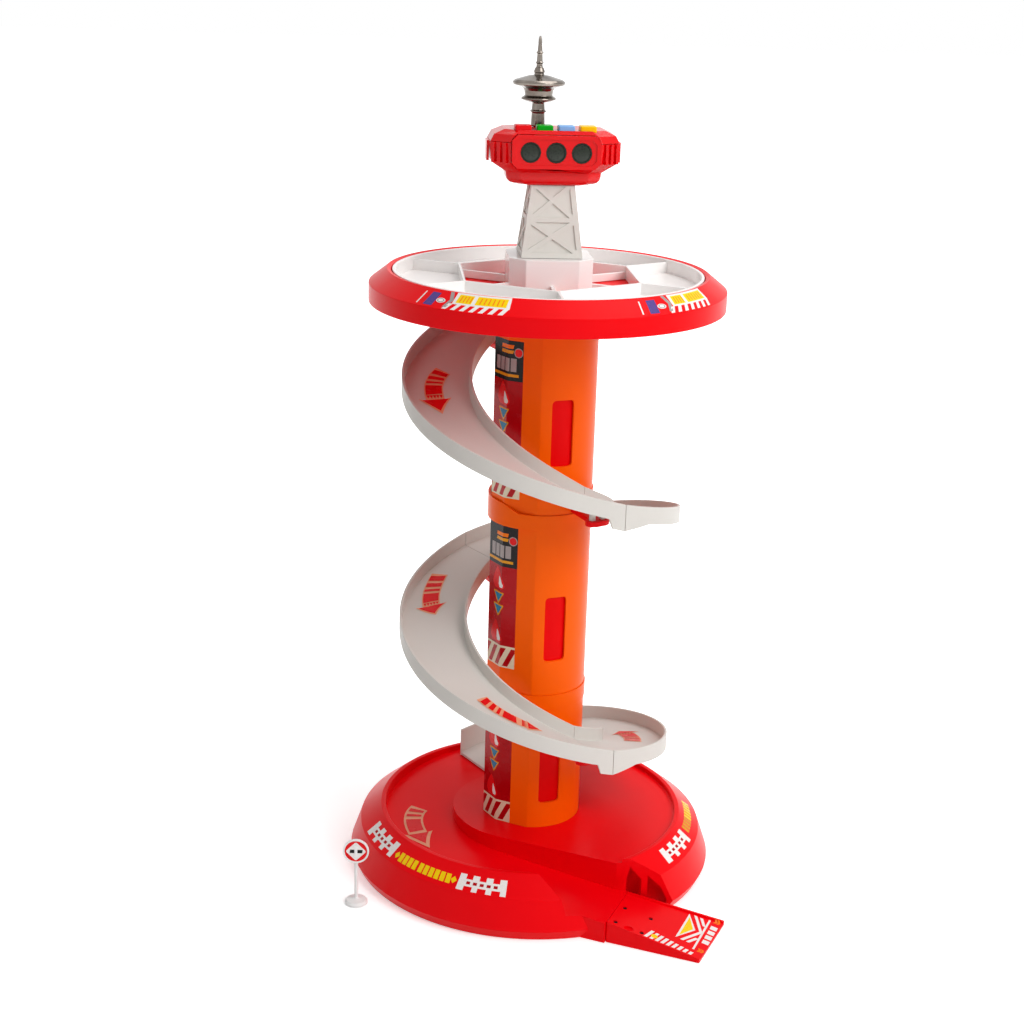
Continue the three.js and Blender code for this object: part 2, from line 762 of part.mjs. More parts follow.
/** One of the three column sections, counted from the bottom. */
function makeColumnSection(place) {
  const joint = sectionJoint + sectionPitch * (place - 1);
  const bottom = place === 0 ? socketFloor + seatGap : joint + seatGap;
  const top = place === 2 ? columnTop : joint + sectionPitch;
  const wall = [prism(columnOutline(0), bottom, top)];
  const spaces = [];
  if (place === 0) {
    spaces.push(prism(columnOutline(-columnWall), bottom - cutOverrun, top + cutOverrun));
  } else {
    const root = joint + plugRoot + (place === 2 ? riseHeight : 0);
    wall.push(prism(columnOutline(-plugInset), joint - plugHeight, root));
    spaces.push(prism(columnOutline(-columnWall), root, top + cutOverrun));
    spaces.push(prism(columnOutline(-plugInset - plugWall), joint - plugHeight - cutOverrun, root + cutOverrun));
  }
  if (place < 2) {
    wall.push(prism(collarOutline(columnRadius + collarProud), top - collarHeight, top));
    spaces.push(prism(columnOutline(-collarInset), top - plugHeight - seatGap, top + cutOverrun));
  }
  if (place === 1) wall.push(riseRing(columnRadius - collarInset, columnRadius + collarProud, 0));
  if (place === 2) {
    wall.push(prism(collarOutline(flangeRadius), flangeBottom, flangeTop));
    spaces.push(riseRing(columnRadius - plugInset, flangeRadius, seatGap));
    spaces.push(ringPart(columnRadius, flangeRadius + cutOverrun, knobNotchStart, knobNotchEnd,
      flangeBottom - cutOverrun, flangeTop + cutOverrun));
  }
  const [windowBottom, windowTop] = windowSpans[place];
  const doorWidth = 2 * columnRadius * Math.sin(THREE.MathUtils.degToRad(doorSpread));
  const sill = aprons[place] - channelFloor - seatGap;
  spaces.push(wallCutter(windowAngle, windowWidth, windowBottom, windowTop, windowCorner));
  spaces.push(wallCutter(doorAngle, doorWidth, sill, doorTops[place], doorCorner));
  spaces.push(wallCutter(slotAngle, slotWidth, slotBottom, slotTop, doorCorner));
  if (place === 0) spaces.push(wallCutter(groundDoorAngle, doorWidth, floorHeight, groundDoorTop, doorCorner));
  brackets.forEach((bracket) => spaces.push(bracketArm(bracket, seatGap), bracketHook(bracket, seatGap)));
  return cut(joined(...wall), ...spaces);
}

function makeLiner(place) {
  const [low, high] = windowSpans[place];
  const outer = columnRadius - columnWall - seatGap;
  return ringPart(outer - linerWall, outer, linerStart, linerEnd, low - linerMargin, high + linerMargin);
}

/** Rims of the channels, each as its height along the azimuth. */
const rims = {
  top: along([[topLandingStart, topRim], [landingEnd, upperStartRim]]),
  upperRamp: along([[rampStart, upperStartRim], [rampEnd, upperEndRim]]),
  upperLanding: along([[rampEnd, upperEndRim], [landingEnd, lowerStartRim]]),
  lowerRamp: along([[rampStart, lowerStartRim], [rampEnd, lowerEndRim]]),
  lowerLanding: along([[rampEnd, lowerEndRim], [landingEnd, groundRim]]),
};
const levelDepth = () => channelDepth;
const groundDepthAt = along([[deepeningStart, channelDepth], [landingEnd, groundDepth]]);
const apronOf = (rim, depth) => rim(apronAngle) - depth(apronAngle);
const aprons = [
  apronOf(rims.lowerLanding, groundDepthAt),
  apronOf(rims.upperLanding, levelDepth),
  apronOf(rims.top, levelDepth),
];

/** Brackets: the joint they carry and the rim of the channel that hangs lowest over their arm. */
const brackets = [
  { name: 'bracket_top', joint: landingEnd, rim: (azimuth) => rims.upperRamp(azimuth - fullTurn) },
  { name: 'bracket_upper', joint: rampEnd, rim: rims.upperLanding },
  { name: 'bracket_middle', joint: landingEnd, rim: (azimuth) => rims.lowerRamp(azimuth - fullTurn) },
  { name: 'bracket_lower', joint: rampEnd, rim: rims.lowerLanding },
];
const bracketTop = ({ joint, rim }) => rim(joint + bracketReach) - channelDepth - channelFloor - seatGap;

/** Arm of a bracket from inside the column's wall to under its joint. */
function bracketArm(bracket, grow) {
  const top = bracketTop(bracket);
  const root = planPoint(columnRadius - bracketEndInset - cutOverrun, bracket.joint + bracketLead);
  const pad = planPoint(bracketPadRadius, bracket.joint);
  return planBar(root, pad, bracketWidth / 2 + grow, top - bracketThickness - grow, top + grow);
}

/** Hook of a bracket, which hangs down inside the column's wall. */
function bracketHook(bracket, grow) {
  const bottom = bracketTop(bracket) - bracketThickness - bracketHookDrop - grow;
  const root = planPoint(columnRadius - bracketEndInset - cutOverrun, bracket.joint + bracketLead);
  const end = planPoint(columnRadius, bracket.joint + bracketLead);
  const bar = planBar(root, end, bracketWidth / 2 + grow, bottom, bottom + bracketHookDrop + cutOverrun + grow);
  return bar.intersect(cylinder(columnRadius - columnWall - seatGap + grow, 0, columnTop, ringFacets));
}

function makeBracket(bracket) {
  const top = bracketTop(bracket);
  const ends = [-postSpread, postSpread].map((spread) => planPoint(bracketPadRadius, bracket.joint + spread));
  const pad = planBar(...ends, bracketPadHalf, top - bracketThickness, top);
  const inside = cylinder(columnRadius - bracketEndInset, 0, columnTop, ringFacets);
  const holes = ends.map(({ x, y }) => cylinder(pinRadius + seatGap, 0, columnTop).translate([x, y, 0]));
  return cut(joined(bracketArm(bracket, 0), pad, bracketHook(bracket, 0)), inside, ...holes);
}

/** Round foot under a channel that stands on a bracket's pad, with a pin into the pad. */
function channelPost(bracket, side, rim) {
  const azimuth = bracket.joint + side * postSpread;
  const { x, y } = planPoint(bracketPadRadius, azimuth);
  const seat = bracketTop(bracket);
  const top = rim(azimuth) - channelDepth - channelFloor / 2;
  const post = turned([[0, seat - pinLength], [pinRadius, seat - pinLength], [pinRadius, seat + seatGap],
    [postRadius, seat + seatGap], [postRadius, top], [0, top]], boreFacets);
  return post.translate([x, y, 0]);
}

/** Section of a car channel, open above, with a hem below its outer wall. */
function channelSection({ rim, depth = channelDepth, innerTop = rim, hem = channelHem }) {
  const floor = rim - depth;
  const under = floor - channelFloor;
  return [
    [channelInner, under], [channelOuter - channelWall, under], [channelOuter - channelWall, under - hem],
    [channelOuter, under - hem], [channelOuter, rim], [channelOuter - channelWall, rim],
    [channelOuter - channelWall, floor], [channelInner + channelWall, floor],
    [channelInner + channelWall, innerTop], [channelInner, innerTop],
  ];
}

function makeRamp(rim, startBracket, endBracket) {
  const hem = along([[rampEnd - hemAngle, channelHem], [rampEnd - hemAngle + jointAngle, hemDrop]]);
  const azimuths = steps(rampStart + jointAngle / 2, rampEnd - jointAngle / 2, bandStep,
    [rampEnd - hemAngle, rampEnd - hemAngle + jointAngle]);
  const body = sweepAbout(azimuths, (azimuth) => channelSection({ rim: rim(azimuth), hem: hem(azimuth) }));
  const startPost = channelPost(startBracket, 1, (azimuth) => rim(azimuth - fullTurn));
  return joined(body, startPost, channelPost(endBracket, -1, rim));
}

/** Flat sill that carries a car from the lift's door to the channel, with the wall under its outer edge. */
function makeApron(rim, depth, apron) {
  const [start, end] = doorEdges();
  const sill = ringPart(apronInner, channelInner + channelWall, start, end, apron - channelFloor, apron);
  const riser = sweepAbout(steps(start, end), (azimuth) => {
    const floor = rim(azimuth) - depth(azimuth);
    const [low, high] = [Math.min(floor, apron) - channelFloor, Math.max(floor, apron)];
    const outer = channelInner + 2 * channelWall;
    return [[channelInner, low], [outer, low], [outer, high], [channelInner, high]];
  });
  return sill.add(riser);
}

/** Azimuths between which a sill lies, clear of the sides of its door. */
const doorEdges = () => [doorAngle - doorSpread + sillMargin, doorAngle + doorSpread - sillMargin];

/** Way over a sill, cut through the channel's inner edge. */
function apronWay(apron, top) {
  return ringPart(channelInner - cutOverrun, channelInner + channelWall, ...doorEdges(), apron, top);
}

function makeLanding(rim, depth, apron, startBracket, endBracket) {
  const floor = (azimuth) => rim(azimuth) - depth(azimuth);
  const hem = along([[rampEnd, hemDrop], [rampEnd + hemFade, channelHem]]);
  const [doorStart, doorEnd] = [doorAngle - doorSpread, doorAngle + doorSpread];
  const innerWallStart = innerWallEnd - innerWallFade;
  const innerWall = along([[innerWallStart, 1], [innerWallEnd, 0], [doorEnd, 0], [doorEnd + innerWallFade, 1]]);
  const wallBends = [innerWallStart, innerWallEnd, doorStart, doorEnd, doorEnd + innerWallFade];
  const bends = [rampEnd + hemFade, deepeningStart, ...wallBends];
  const azimuths = steps(rampEnd + jointAngle / 2, landingEnd - jointAngle / 2, bandStep, bends);
  const body = sweepAbout(azimuths, (azimuth) => {
    const curb = floor(azimuth) + channelCurb;
    const innerTop = curb + innerWall(azimuth) * (rim(azimuth) - curb);
    return channelSection({ rim: rim(azimuth), depth: depth(azimuth), innerTop, hem: hem(azimuth) });
  });
  const pieces = [body, makeApron(rim, depth, apron), channelPost(startBracket, 1, rim)];
  if (endBracket) pieces.push(channelPost(endBracket, -1, rim));
  return joined(...pieces).subtract(apronWay(apron, rim(doorStart)));
}

function makeTopLanding() {
  const apron = aprons[2];
  const doorEnd = doorAngle + doorSpread;
  const azimuths = steps(topLandingStart, landingEnd - jointAngle / 2, bandStep, [doorEnd, doorEnd + innerWallFade]);
  const innerWall = along([[doorEnd, 0], [doorEnd + innerWallFade, 1]]);
  const body = sweepAbout(azimuths, (azimuth) => {
    const rim = rims.top(azimuth);
    const curb = rim - channelDepth + channelCurb;
    return channelSection({ rim, innerTop: curb + innerWall(azimuth) * (rim - curb) });
  });
  const stop = ringPart(channelInner, channelOuter, topLandingStart, topLandingStart + innerWallFade,
    rims.top(topLandingStart) - channelDepth - channelFloor / 2, rims.top(topLandingStart) - channelFloor / 2);
  const sill = makeApron(rims.top, levelDepth, apron);
  return joined(body, stop, sill, channelPost(brackets[0], -1, rims.top)).subtract(apronWay(apron, topRim));
}

function makeLiftCar() {
  const rest = floorHeight;
  const radius = columnRadius - liftInset;
  const plate = prism(columnOutline(-liftInset), rest - liftWall, rest);
  const fence = prism(columnOutline(-liftInset), rest - liftWall, rest + liftGuardHeight);
  const inside = prism(columnOutline(-liftInset - liftGuardWall), rest - liftWall, rest + 2 * liftGuardHeight);
  const [low, high] = [rest - 2 * liftWall, rest + 2 * liftGuardHeight];
  const way = ringPart(radius / 2, columnRadius, liftGuardEnd, liftGuardStart + fullTurn, low, high);
  const half = lugWidth / 2;
  const turn = facing(slotAngle);
  const top = rest + lugTop;
  const post = box([-half, rest - liftWall / 2, radius - lugRoot], [half, top, radius - liftGuardWall / 2], turn);
  const lug = box([-half, rest + lugBottom, radius - lugRoot], [half, top, columnRadius + lugReach], turn);
  return joined(plate, cut(fence, inside, way), post, lug);
}

function makeLiftKnob() {
  const middle = floorHeight + (lugBottom + lugTop) / 2;
  const turn = facing(slotAngle);
  const grip = prism(roundedRectangle(knobWidth, middle - knobHeight / 2, middle + knobHeight / 2, knobCorner),
    knobInnerRadius, knobOuterRadius, turn);
  const half = lugWidth / 2 + seatGap;
  const pocket = box([-half, floorHeight + lugBottom - seatGap, knobInnerRadius - cutOverrun],
    [half, floorHeight + lugTop + seatGap, columnRadius + lugReach + seatGap], turn);
  return grip.subtract(pocket);
}

function makeDeck() {
  const ring = turned([
    [deckSleeveInner, flangeTop + seatGap], [deckSleeveOuter, flangeTop + seatGap], [deckSleeveOuter, deckPlateBottom],
    [deckLipRadius + deckWall, deckPlateBottom], [deckSlopeRadius, deckCrestHeight - deckWall - seatGap],
    [deckEdgeRadius - deckWall, deckEdgeTop - deckWall / 2], [deckEdgeRadius - deckWall, deckEdgeBottom],
    [deckEdgeRadius, deckEdgeBottom], [deckEdgeRadius, deckEdgeTop], [deckSlopeRadius, deckCrestHeight],
    [deckLipRadius, deckCrestHeight - cutOverrun], [deckLipRadius, deckPlateTop], [deckSleeveInner, deckPlateTop],
  ]);
  const half = deckRibWall / 2;
  const ribs = Array.from({ length: deckRibCount }, (_, place) => (place * fullTurn) / deckRibCount)
    .filter((azimuth) => azimuth < knobNotchStart || azimuth > landingEnd)
    .map((azimuth) => box([-half, deckPlateBottom - deckRibDrop, deckSleeveOuter - deckWall / 2],
      [half, deckPlateBottom + deckWall / 2, deckEdgeRadius - deckWall / 2], facing(azimuth)));
  const notch = ringPart(deckSleeveInner - cutOverrun, deckSleeveOuter + cutOverrun, knobNotchStart, knobNotchEnd,
    flangeTop - cutOverrun, deckPlateBottom);
  return joined(ring, ...ribs).subtract(notch);
}

const wheelBottom = deckPlateTop + wheelLift;
const bearingShelf = bearingTop + seatGap;

/** Flat outline of the hub, square with cut corners. */
function hubOutline(inset) {
  const side = hubSide / 2 - inset;
  const corner = side - hubChamfer;
  const corners = [
    [side, -corner], [side, corner], [corner, side], [-corner, side],
    [-side, corner], [-side, -corner], [-corner, -side], [corner, -side],
  ];
  return corners.map(([x, y]) => new THREE.Vector2(x, y));
}

/** Hexagon through points at a radius from the axis. */
function hexagon(radius) {
  return Array.from({ length: bayCount }, (_, place) => planPoint(radius, place * bayTurn));
}

function makeWheel() {
  const hexWall = wheelWall / Math.cos(Math.PI / bayCount);
  const floor = cylinder(wheelRadius, wheelBottom, wheelBottom + wheelFloor, ringFacets);
  const rim = tube(wheelRadius - wheelRim, wheelRadius, wheelBottom, wheelRimHeight);
  const wall = prism(hexagon(hexRadius), wheelBottom, wheelWallHeight);
  const open = prism(hexagon(hexRadius - hexWall), wheelBottom - cutOverrun, wheelRimHeight);
  const half = wheelWall / 2;
  const dividers = Array.from({ length: bayCount }, (_, place) => box([-half, wheelBottom, hexRadius - hexWall],
    [half, wheelWallHeight, wheelRadius - wheelRim / 2], facing(place * bayTurn)));
  const ring = joined(cut(joined(floor, wall), open), rim, ...dividers);
  const spokeHalf = spokeWidth / 2;
  const spokes = Array.from({ length: bayCount }, (_, place) => box([-spokeHalf, wheelBottom, hubSide / 2 - hubWall],
    [spokeHalf, wheelBottom + spokeHeight, hexRadius - hexWall / 2], facing(place * bayTurn)));
  const hubCore = prism(hubOutline(hubWall), wheelBottom - cutOverrun, hubTop - hubWall);
  const hub = cut(prism(hubOutline(0), wheelBottom, hubTop), hubCore);
  const web = prism(hubOutline(hubWall / 2), bearingTop - bearingWall, bearingTop);
  const sleeveRadius = bearingRadius + seatGap + bearingWall;
  const sleeve = cylinder(sleeveRadius, wheelBottom + wheelFloor, bearingTop - bearingWall / 2, 2 * boreFacets);
  const bore = cylinder(bearingRadius + seatGap, wheelBottom, bearingTop + cutOverrun, 2 * boreFacets);
  const access = cylinder(hubBoreRadius, bearingTop + bearingWall, hubTop + cutOverrun, 2 * boreFacets);
  return cut(joined(ring, ...spokes, hub, web, sleeve), bore, access);
}

function makeTopCap() {
  const bottom = columnTop + seatGap;
  const plate = prism(columnOutline(0), bottom, bottom + capThickness);
  const plug = prism(columnOutline(-columnWall - seatGap), bottom - capPlugHeight, bottom + capThickness / 2);
  const hollowInset = columnWall + seatGap + capPlugWall;
  const hollow = prism(columnOutline(-hollowInset), bottom - capPlugHeight - cutOverrun, bottom);
  const boss = cylinder(bearingRadius, bottom, bearingShelf, 2 * boreFacets);
  const coreTop = bearingShelf - wheelScrewLength / 2;
  const core = cylinder(bearingRadius - bearingWall, bottom - cutOverrun, coreTop, boreFacets);
  const bore = cylinder(screwRadius + seatGap, bottom, bearingShelf + cutOverrun, boreFacets);
  return cut(joined(plate, plug, boss), hollow, core, bore);
}

/** Screw with a round head, hanging down from the seat under its head. */
function screw(radius, headRadius, headHeight, length) {
  return turned([[0, -length], [radius, -length], [radius, 0], [headRadius, 0], [headRadius, headHeight / 2],
    [headRadius / 2, headHeight], [0, headHeight]], boreFacets);
}

const mastBottom = hubTop + seatGap;

const mastSlope = (mastBottomSide - mastTopSide) / 2 / (mastTop - mastBottom);
const mastHalf = (height) => mastBottomSide / 2 - mastSlope * (height - mastBottom);

/** Square frustum that follows the mast's sides, drawn in by an inset. */
function mastFrustum(inset, bottom, top) {
  return loft([bottom, top].map((height) => {
    const half = mastHalf(height) - inset;
    const corners = [[-half, -half], [half, -half], [half, half], [-half, half]];
    return corners.map(([x, y]) => new THREE.Vector3(x, y, height));
  }));
}

/** Pockets of the mast's front face: two bays, each crossed by two bars. */
function mastPockets() {
  const stretch = Math.hypot(1, mastSlope);
  const lean = new THREE.Matrix4().makeRotationX(-Math.atan(mastSlope));
  const face = facing(0, 0, -mastBottomSide / 2, mastBottom).multiply(lean);
  const bays = [[mastBottom + mastSill, mastSplit - mastBar / 2], [mastSplit + mastBar / 2, mastTop - mastHead]];
  return bays.map(([bottom, top]) => {
    const [low, high] = [bottom, top].map((height) => (height - mastBottom) * stretch);
    const [wide, narrow] = [bottom, top].map((height) => mastHalf(height) - mastPost);
    const corners = [[-wide, low], [wide, low], [narrow, high], [-narrow, high]]
      .map(([x, y]) => new THREE.Vector2(x, y));
    const bars = [[corners[0], corners[2]], [corners[1], corners[3]]].map(([from, to]) => {
      const angle = Math.atan2(to.y - from.y, to.x - from.x);
      const turn = new THREE.Matrix4().makeRotationZ(angle).setPosition(from.x, from.y, 0);
      const reach = from.distanceTo(to) + cutOverrun;
      const place = face.clone().multiply(turn);
      return box([-cutOverrun, -mastBar / 2, -2 * mastRecess], [reach, mastBar / 2, 2 * mastRecess], place);
    });
    return cut(prism(corners, -mastRecess, mastRecess, face), ...bars);
  });
}

function makeMast() {
  const outer = mastFrustum(0, mastBottom, mastTop);
  const inner = mastFrustum(mastWall, mastBottom + mastWall, mastTop - mastWall);
  const pockets = [0, rightAngle, halfTurn, halfTurn + rightAngle].flatMap((turn) =>
    mastPockets().map((pocket) => pocket.rotate([0, 0, turn])));
  const spigotRadius = hubBoreRadius - seatGap;
  const spigot = cylinder(spigotRadius, mastBottom - mastSpigotDepth, mastBottom + mastWall / 2, 2 * boreFacets);
  const bore = cylinder(spigotRadius - mastSpigotWall, mastBottom - mastSpigotDepth - cutOverrun,
    mastBottom + mastWall + cutOverrun, 2 * boreFacets);
  const holes = [-mastScrewSpread, mastScrewSpread].map((x) =>
    cylinder(screwRadius + seatGap, mastTop - 2 * mastWall, mastTop + cutOverrun).translate([x, 0, 0]));
  return cut(joined(outer, spigot), inner, bore, ...pockets, ...holes);
}

/** Level of the pod's housing: an outline of eight corners, drawn in by an inset that is smaller front to back. */
function podLevel(height, inset) {
  const length = podHalfLength - inset;
  const depth = podHalfDepth - podDepthShare * inset;
  const [acrossEnd, depthEnd] = [length * (1 - podChamferLengthShare), depth * (1 - podChamferDepthShare)];
  const corners = [
    [length, -depthEnd], [length, depthEnd], [acrossEnd, depth], [-acrossEnd, depth],
    [-length, depthEnd], [-length, -depthEnd], [-acrossEnd, -depth], [acrossEnd, -depth],
  ];
  return corners.map(([x, y]) => new THREE.Vector3(x, y, height));
}

function podShell(levels, inset, rise) {
  return loft(levels.map(([height, draw]) => podLevel(height + rise, draw + inset)));
}

/** Outline of the front panel, grown by a gap or drawn in by a wall. */
function panelOutline(grow) {
  const corner = panelChamfer + grow / 2;
  const [half, low, high] = [panelHalfWidth + grow, panelBottom - grow, panelTop + grow];
  const corners = [
    [-half, low + corner], [corner - half, low], [half - corner, low], [half, low + corner],
    [half, high - corner], [half - corner, high], [corner - half, high], [-half, high - corner],
  ];
  return corners.map(([x, y]) => new THREE.Vector2(x, y));
}

/** Space of the front panel, grown by a gap. */
function panelSpace(grow, back) {
  return prism(panelOutline(grow), back, panelFront, facing(0));
}

/** Ribs on the band of the pod's ends. */
function podRibs() {
  const [low, high] = [podLevels[3][0], podParting];
  const half = podRibWidth / 2;
  const ends = [-1, 1].map((side) => {
    const faces = [side * podHalfLength, side * (podHalfLength + podRibProud)].sort((a, b) => a - b);
    return box([faces[0] - seatGap, -podEndBlock / 2, low], [faces[1] + seatGap, podEndBlock / 2, high]);
  });
  const chamfer = new THREE.Vector2(podHalfLength * podChamferLengthShare, podHalfDepth * podChamferDepthShare);
  const turn = THREE.MathUtils.radToDeg(Math.atan2(chamfer.x, chamfer.y));
  const middle = new THREE.Vector2(podHalfLength - chamfer.x / 2, podHalfDepth - chamfer.y / 2);
  const bars = [[1, -1], [1, 1], [-1, 1], [-1, -1]].flatMap(([sideX, sideY]) => [-1, 0, 1].map((place) => {
    const azimuth = sideX * (rightAngle + sideY * turn);
    const turned = facing(azimuth, sideX * middle.x, sideY * middle.y);
    const across = place * podRibPitch;
    return box([across - half, low, -podWall / 2], [across + half, high, podRibProud], turned);
  }));
  return [...ends, ...bars];
}

function makePodLower() {
  const outer = podShell(podLevels, 0, 0);
  const inner = podShell([...podLevels, [podParting + podWall + podWallRise, 0]], podWall, podWallRise);
  const bosses = [-mastScrewSpread, mastScrewSpread].map((x) =>
    cylinder(screwRadius + podWall, podBottom, podLevels[2][0]).translate([x, 0, 0]));
  const bores = [-mastScrewSpread, mastScrewSpread].map((x) =>
    cylinder(screwRadius + seatGap, podBottom - cutOverrun, podLevels[2][0] + cutOverrun).translate([x, 0, 0]));
  const seat = tube(speakerRadius - podWall, speakerRadius, podBottom, speakerSeat - seatGap, boreFacets)
    .translate([speakerPlace, 0, 0]);
  const door = box([-doorHalfLength - seatGap, podHalfDepth - 2 * podWall, doorBottom - seatGap],
    [doorHalfLength + seatGap, podHalfDepth + cutOverrun, doorTopHeight + seatGap]);
  const shell = joined(cut(outer, inner), ...podRibs(), ...bosses, seat.intersect(outer));
  return cut(shell, panelSpace(seatGap, panelBack - cutOverrun), door, ...bores);
}

function makePodUpper() {
  const outer = podShell(podRoofLevels, 0, 0);
  const [edgeHeight, edgeInset] = podRoofLevels[0];
  const inner = podShell([[edgeHeight - 2 * podWall, edgeInset], ...podRoofLevels], podWall, -podWallRise);
  const ceiling = podTop - podWallRise;
  const buttonHoles = buttonPlaces().flatMap((x) => [buttonSpace(x, slideGap / 2, podParting, podTop + cutOverrun),
    buttonSpace(x, buttonFlange + seatGap, podParting, ceiling)]);
  const boardTop = boardLevel();
  const bosses = [-boardBossSpread, boardBossSpread].map((x) =>
    cylinder(boardBossRadius, boardTop + seatGap, ceiling + podWall / 2).translate([x, -boardBossPlace, 0]));
  const bores = [-boardBossSpread, boardBossSpread].map((x) =>
    cylinder(smallScrewRadius + seatGap, boardTop, ceiling).translate([x, -boardBossPlace, 0]));
  const antennaHole = cylinder(antennaPegRadius + seatGap, podParting, podTop + cutOverrun)
    .translate([antennaPlaceX, antennaPlaceY, 0]);
  const openings = [panelSpace(seatGap, panelBack - cutOverrun), antennaHole, ...buttonHoles, ...bores];
  return cut(joined(cut(outer, inner), ...bosses), ...openings);
}

const buttonNames = Object.keys(buttonColours);
const buttonPlaces = () => buttonNames.map((_, place) => (place - (buttonNames.length - 1) / 2) * buttonPitch);
const boardLevel = () => podTop - podWallRise - seatGap - buttonFlangeHeight - buttonStemLength - boardGap;

/** Upright space of a button at a place across, grown by a gap. */
function buttonSpace(x, grow, bottom, top) {
  const half = buttonDepth / 2 + grow;
  const shape = roundedRectangle(buttonWidth + 2 * grow, -half, half, buttonCorner);
  return prism(shape, bottom, top, new THREE.Matrix4().makeTranslation(x, -buttonPlace, 0));
}

function makeButton(x) {
  const flangeTop = podTop - podWallRise - seatGap;
  const flangeBottomLevel = flangeTop - buttonFlangeHeight;
  const cap = buttonSpace(x, 0, flangeBottomLevel, buttonTop);
  const flange = buttonSpace(x, buttonFlange, flangeBottomLevel, flangeTop);
  const stemTop = flangeBottomLevel + buttonFlangeHeight / 2;
  const stem = cylinder(buttonStemRadius, flangeBottomLevel - buttonStemLength, stemTop)
    .translate([x, -buttonPlace, 0]);
  return joined(cap, flange, stem);
}

function makePanel() {
  const body = panelSpace(0, panelBack);
  const hollow = prism(panelOutline(-panelWall), panelBack - cutOverrun, panelFront - panelWall, facing(0));
  const holes = [-lensPitch, 0, lensPitch].map((x) =>
    cylinder(lensHoleRadius, panelBack, panelFront + cutOverrun, 2 * boreFacets, facing(0, x, 0, lensHeight)));
  return cut(body, hollow, ...holes);
}

function makeLens(x) {
  const back = panelFront - panelWall - seatGap;
  const radius = lensHoleRadius - seatGap;
  const [flange, face] = [radius + lensFlange, panelFront - lensRecess];
  const profile = [
    [0, back - lensFlangeWall], [flange, back - lensFlangeWall], [flange, back],
    [radius, back], [radius, face], [0, face],
  ];
  return turned(profile, 2 * boreFacets, facing(0, x, 0, lensHeight));
}

function makeAntenna() {
  const seat = podTop + seatGap;
  const rings = antennaShares.map(([radius, height]) => [radius * antennaRadius, seat + height * antennaHeight]);
  const peg = [[0, seat - antennaPegLength], [antennaPegRadius, seat - antennaPegLength], [antennaPegRadius, seat]];
  const profile = [...peg, ...rings, [0, seat + antennaHeight]];
  return turned(profile, antennaFacets).translate([antennaPlaceX, antennaPlaceY, 0]);
}

function makeBoard() {
  const top = boardLevel();
  const plate = box([-boardHalfLength, -boardFront, top - boardThickness], [boardHalfLength, boardBack, top]);
  const holes = [-boardBossSpread, boardBossSpread].map((x) =>
    cylinder(smallScrewRadius + seatGap, top - 2 * boardThickness, top + cutOverrun).translate([x, -boardBossPlace, 0]));
  return cut(plate, ...holes);
}

function makeSpeaker() {
  return turned([[0, speakerSeat - speakerMagnetHeight], [speakerMagnetRadius, speakerSeat - speakerMagnetHeight],
    [speakerMagnetRadius, speakerSeat], [speakerRadius, speakerSeat], [speakerRadius, speakerSeat + speakerHeight],
    [speakerMagnetRadius, speakerSeat + speakerHeight / 2], [0, speakerSeat + speakerHeight / 2]], 2 * boreFacets)
    .translate([speakerPlace, 0, 0]);
}

const cellPlaces = Array.from({ length: cellCount }, (_, place) => cellStart + place * cellPitch);
const holderFront = holderBack - holderDepth;
const holderMiddle = (holderBottom + holderTop) / 2;

function makeHolder() {
  const body = box([-holderHalfLength, holderFront, holderBottom], [holderHalfLength, holderBack, holderTop]);
  const pockets = cellPlaces.map((x) => cylinder(cellRadius + seatGap, -holderBack - cutOverrun, -holderFront - holderWall,
    2 * boreFacets, facing(0, x, 0, holderMiddle)));
  const bore = cylinder(smallScrewRadius + seatGap, -holderBack - cutOverrun, cutOverrun - holderFront,
    boreFacets, facing(0, doorScrewPlace, 0, holderMiddle));
  return cut(body, ...pockets, bore);
}

function makeCell(x) {
  const front = holderFront + holderWall + seatGap;
  return cylinder(cellRadius, -front - cellThickness, -front, 2 * boreFacets, facing(0, x, 0, holderMiddle));
}

function makeBatteryDoor() {
  const back = podHalfDepth;
  const cover = box([-doorHalfLength, back - doorThickness, doorBottom], [doorHalfLength, back, doorTopHeight]);
  const place = facing(0, doorScrewPlace, 0, holderMiddle);
  const front = doorThickness + cutOverrun - back;
  const bore = cylinder(smallScrewRadius + seatGap, -back - cutOverrun, front, boreFacets, place);
  const sink = cylinder(smallHeadRadius + seatGap, -back - cutOverrun, doorScrewSink - back, boreFacets, place);
  return cut(cover, bore, sink);
}

const smallScrew = () => screw(smallScrewRadius, smallHeadRadius, smallHeadHeight, smallScrewLength);

/** Screw that stands on its head, pointing up from its seat. */
const upward = (body, x, y, seat) => body.rotate([halfTurn, 0, 0]).translate([x, y, seat]);

addPiece(garage, 'base', makeBase(), redPlastic);
addPiece(garage, 'exit_plate', makeExitPlate(), redPlastic);
addPiece(garage, 'sign_post', makeSignPost(), whitePlastic);
addPiece(garage, 'sign_disc', makeSignDisc(), whitePlastic);
['lower', 'middle', 'upper'].forEach((level, place) => {
  addPiece(garage, `column_${level}`, makeColumnSection(place), orangePlastic);
  addPiece(garage, `liner_${level}`, makeLiner(place), slotRed);
});
brackets.forEach((bracket) => addPiece(garage, bracket.name, makeBracket(bracket), redPlastic));
const [topBracket, upperBracket, middleBracket, lowerBracket] = brackets;
addPiece(garage, 'ramp_upper', makeRamp(rims.upperRamp, topBracket, upperBracket), greyPlastic);
addPiece(garage, 'ramp_lower', makeRamp(rims.lowerRamp, middleBracket, lowerBracket), greyPlastic);
addPiece(garage, 'landing_top', makeTopLanding(), greyPlastic);
const landingUpper = makeLanding(rims.upperLanding, levelDepth, aprons[1], upperBracket, middleBracket);
const landingLower = makeLanding(rims.lowerLanding, groundDepthAt, aprons[0], lowerBracket);
addPiece(garage, 'landing_upper', landingUpper, greyPlastic);
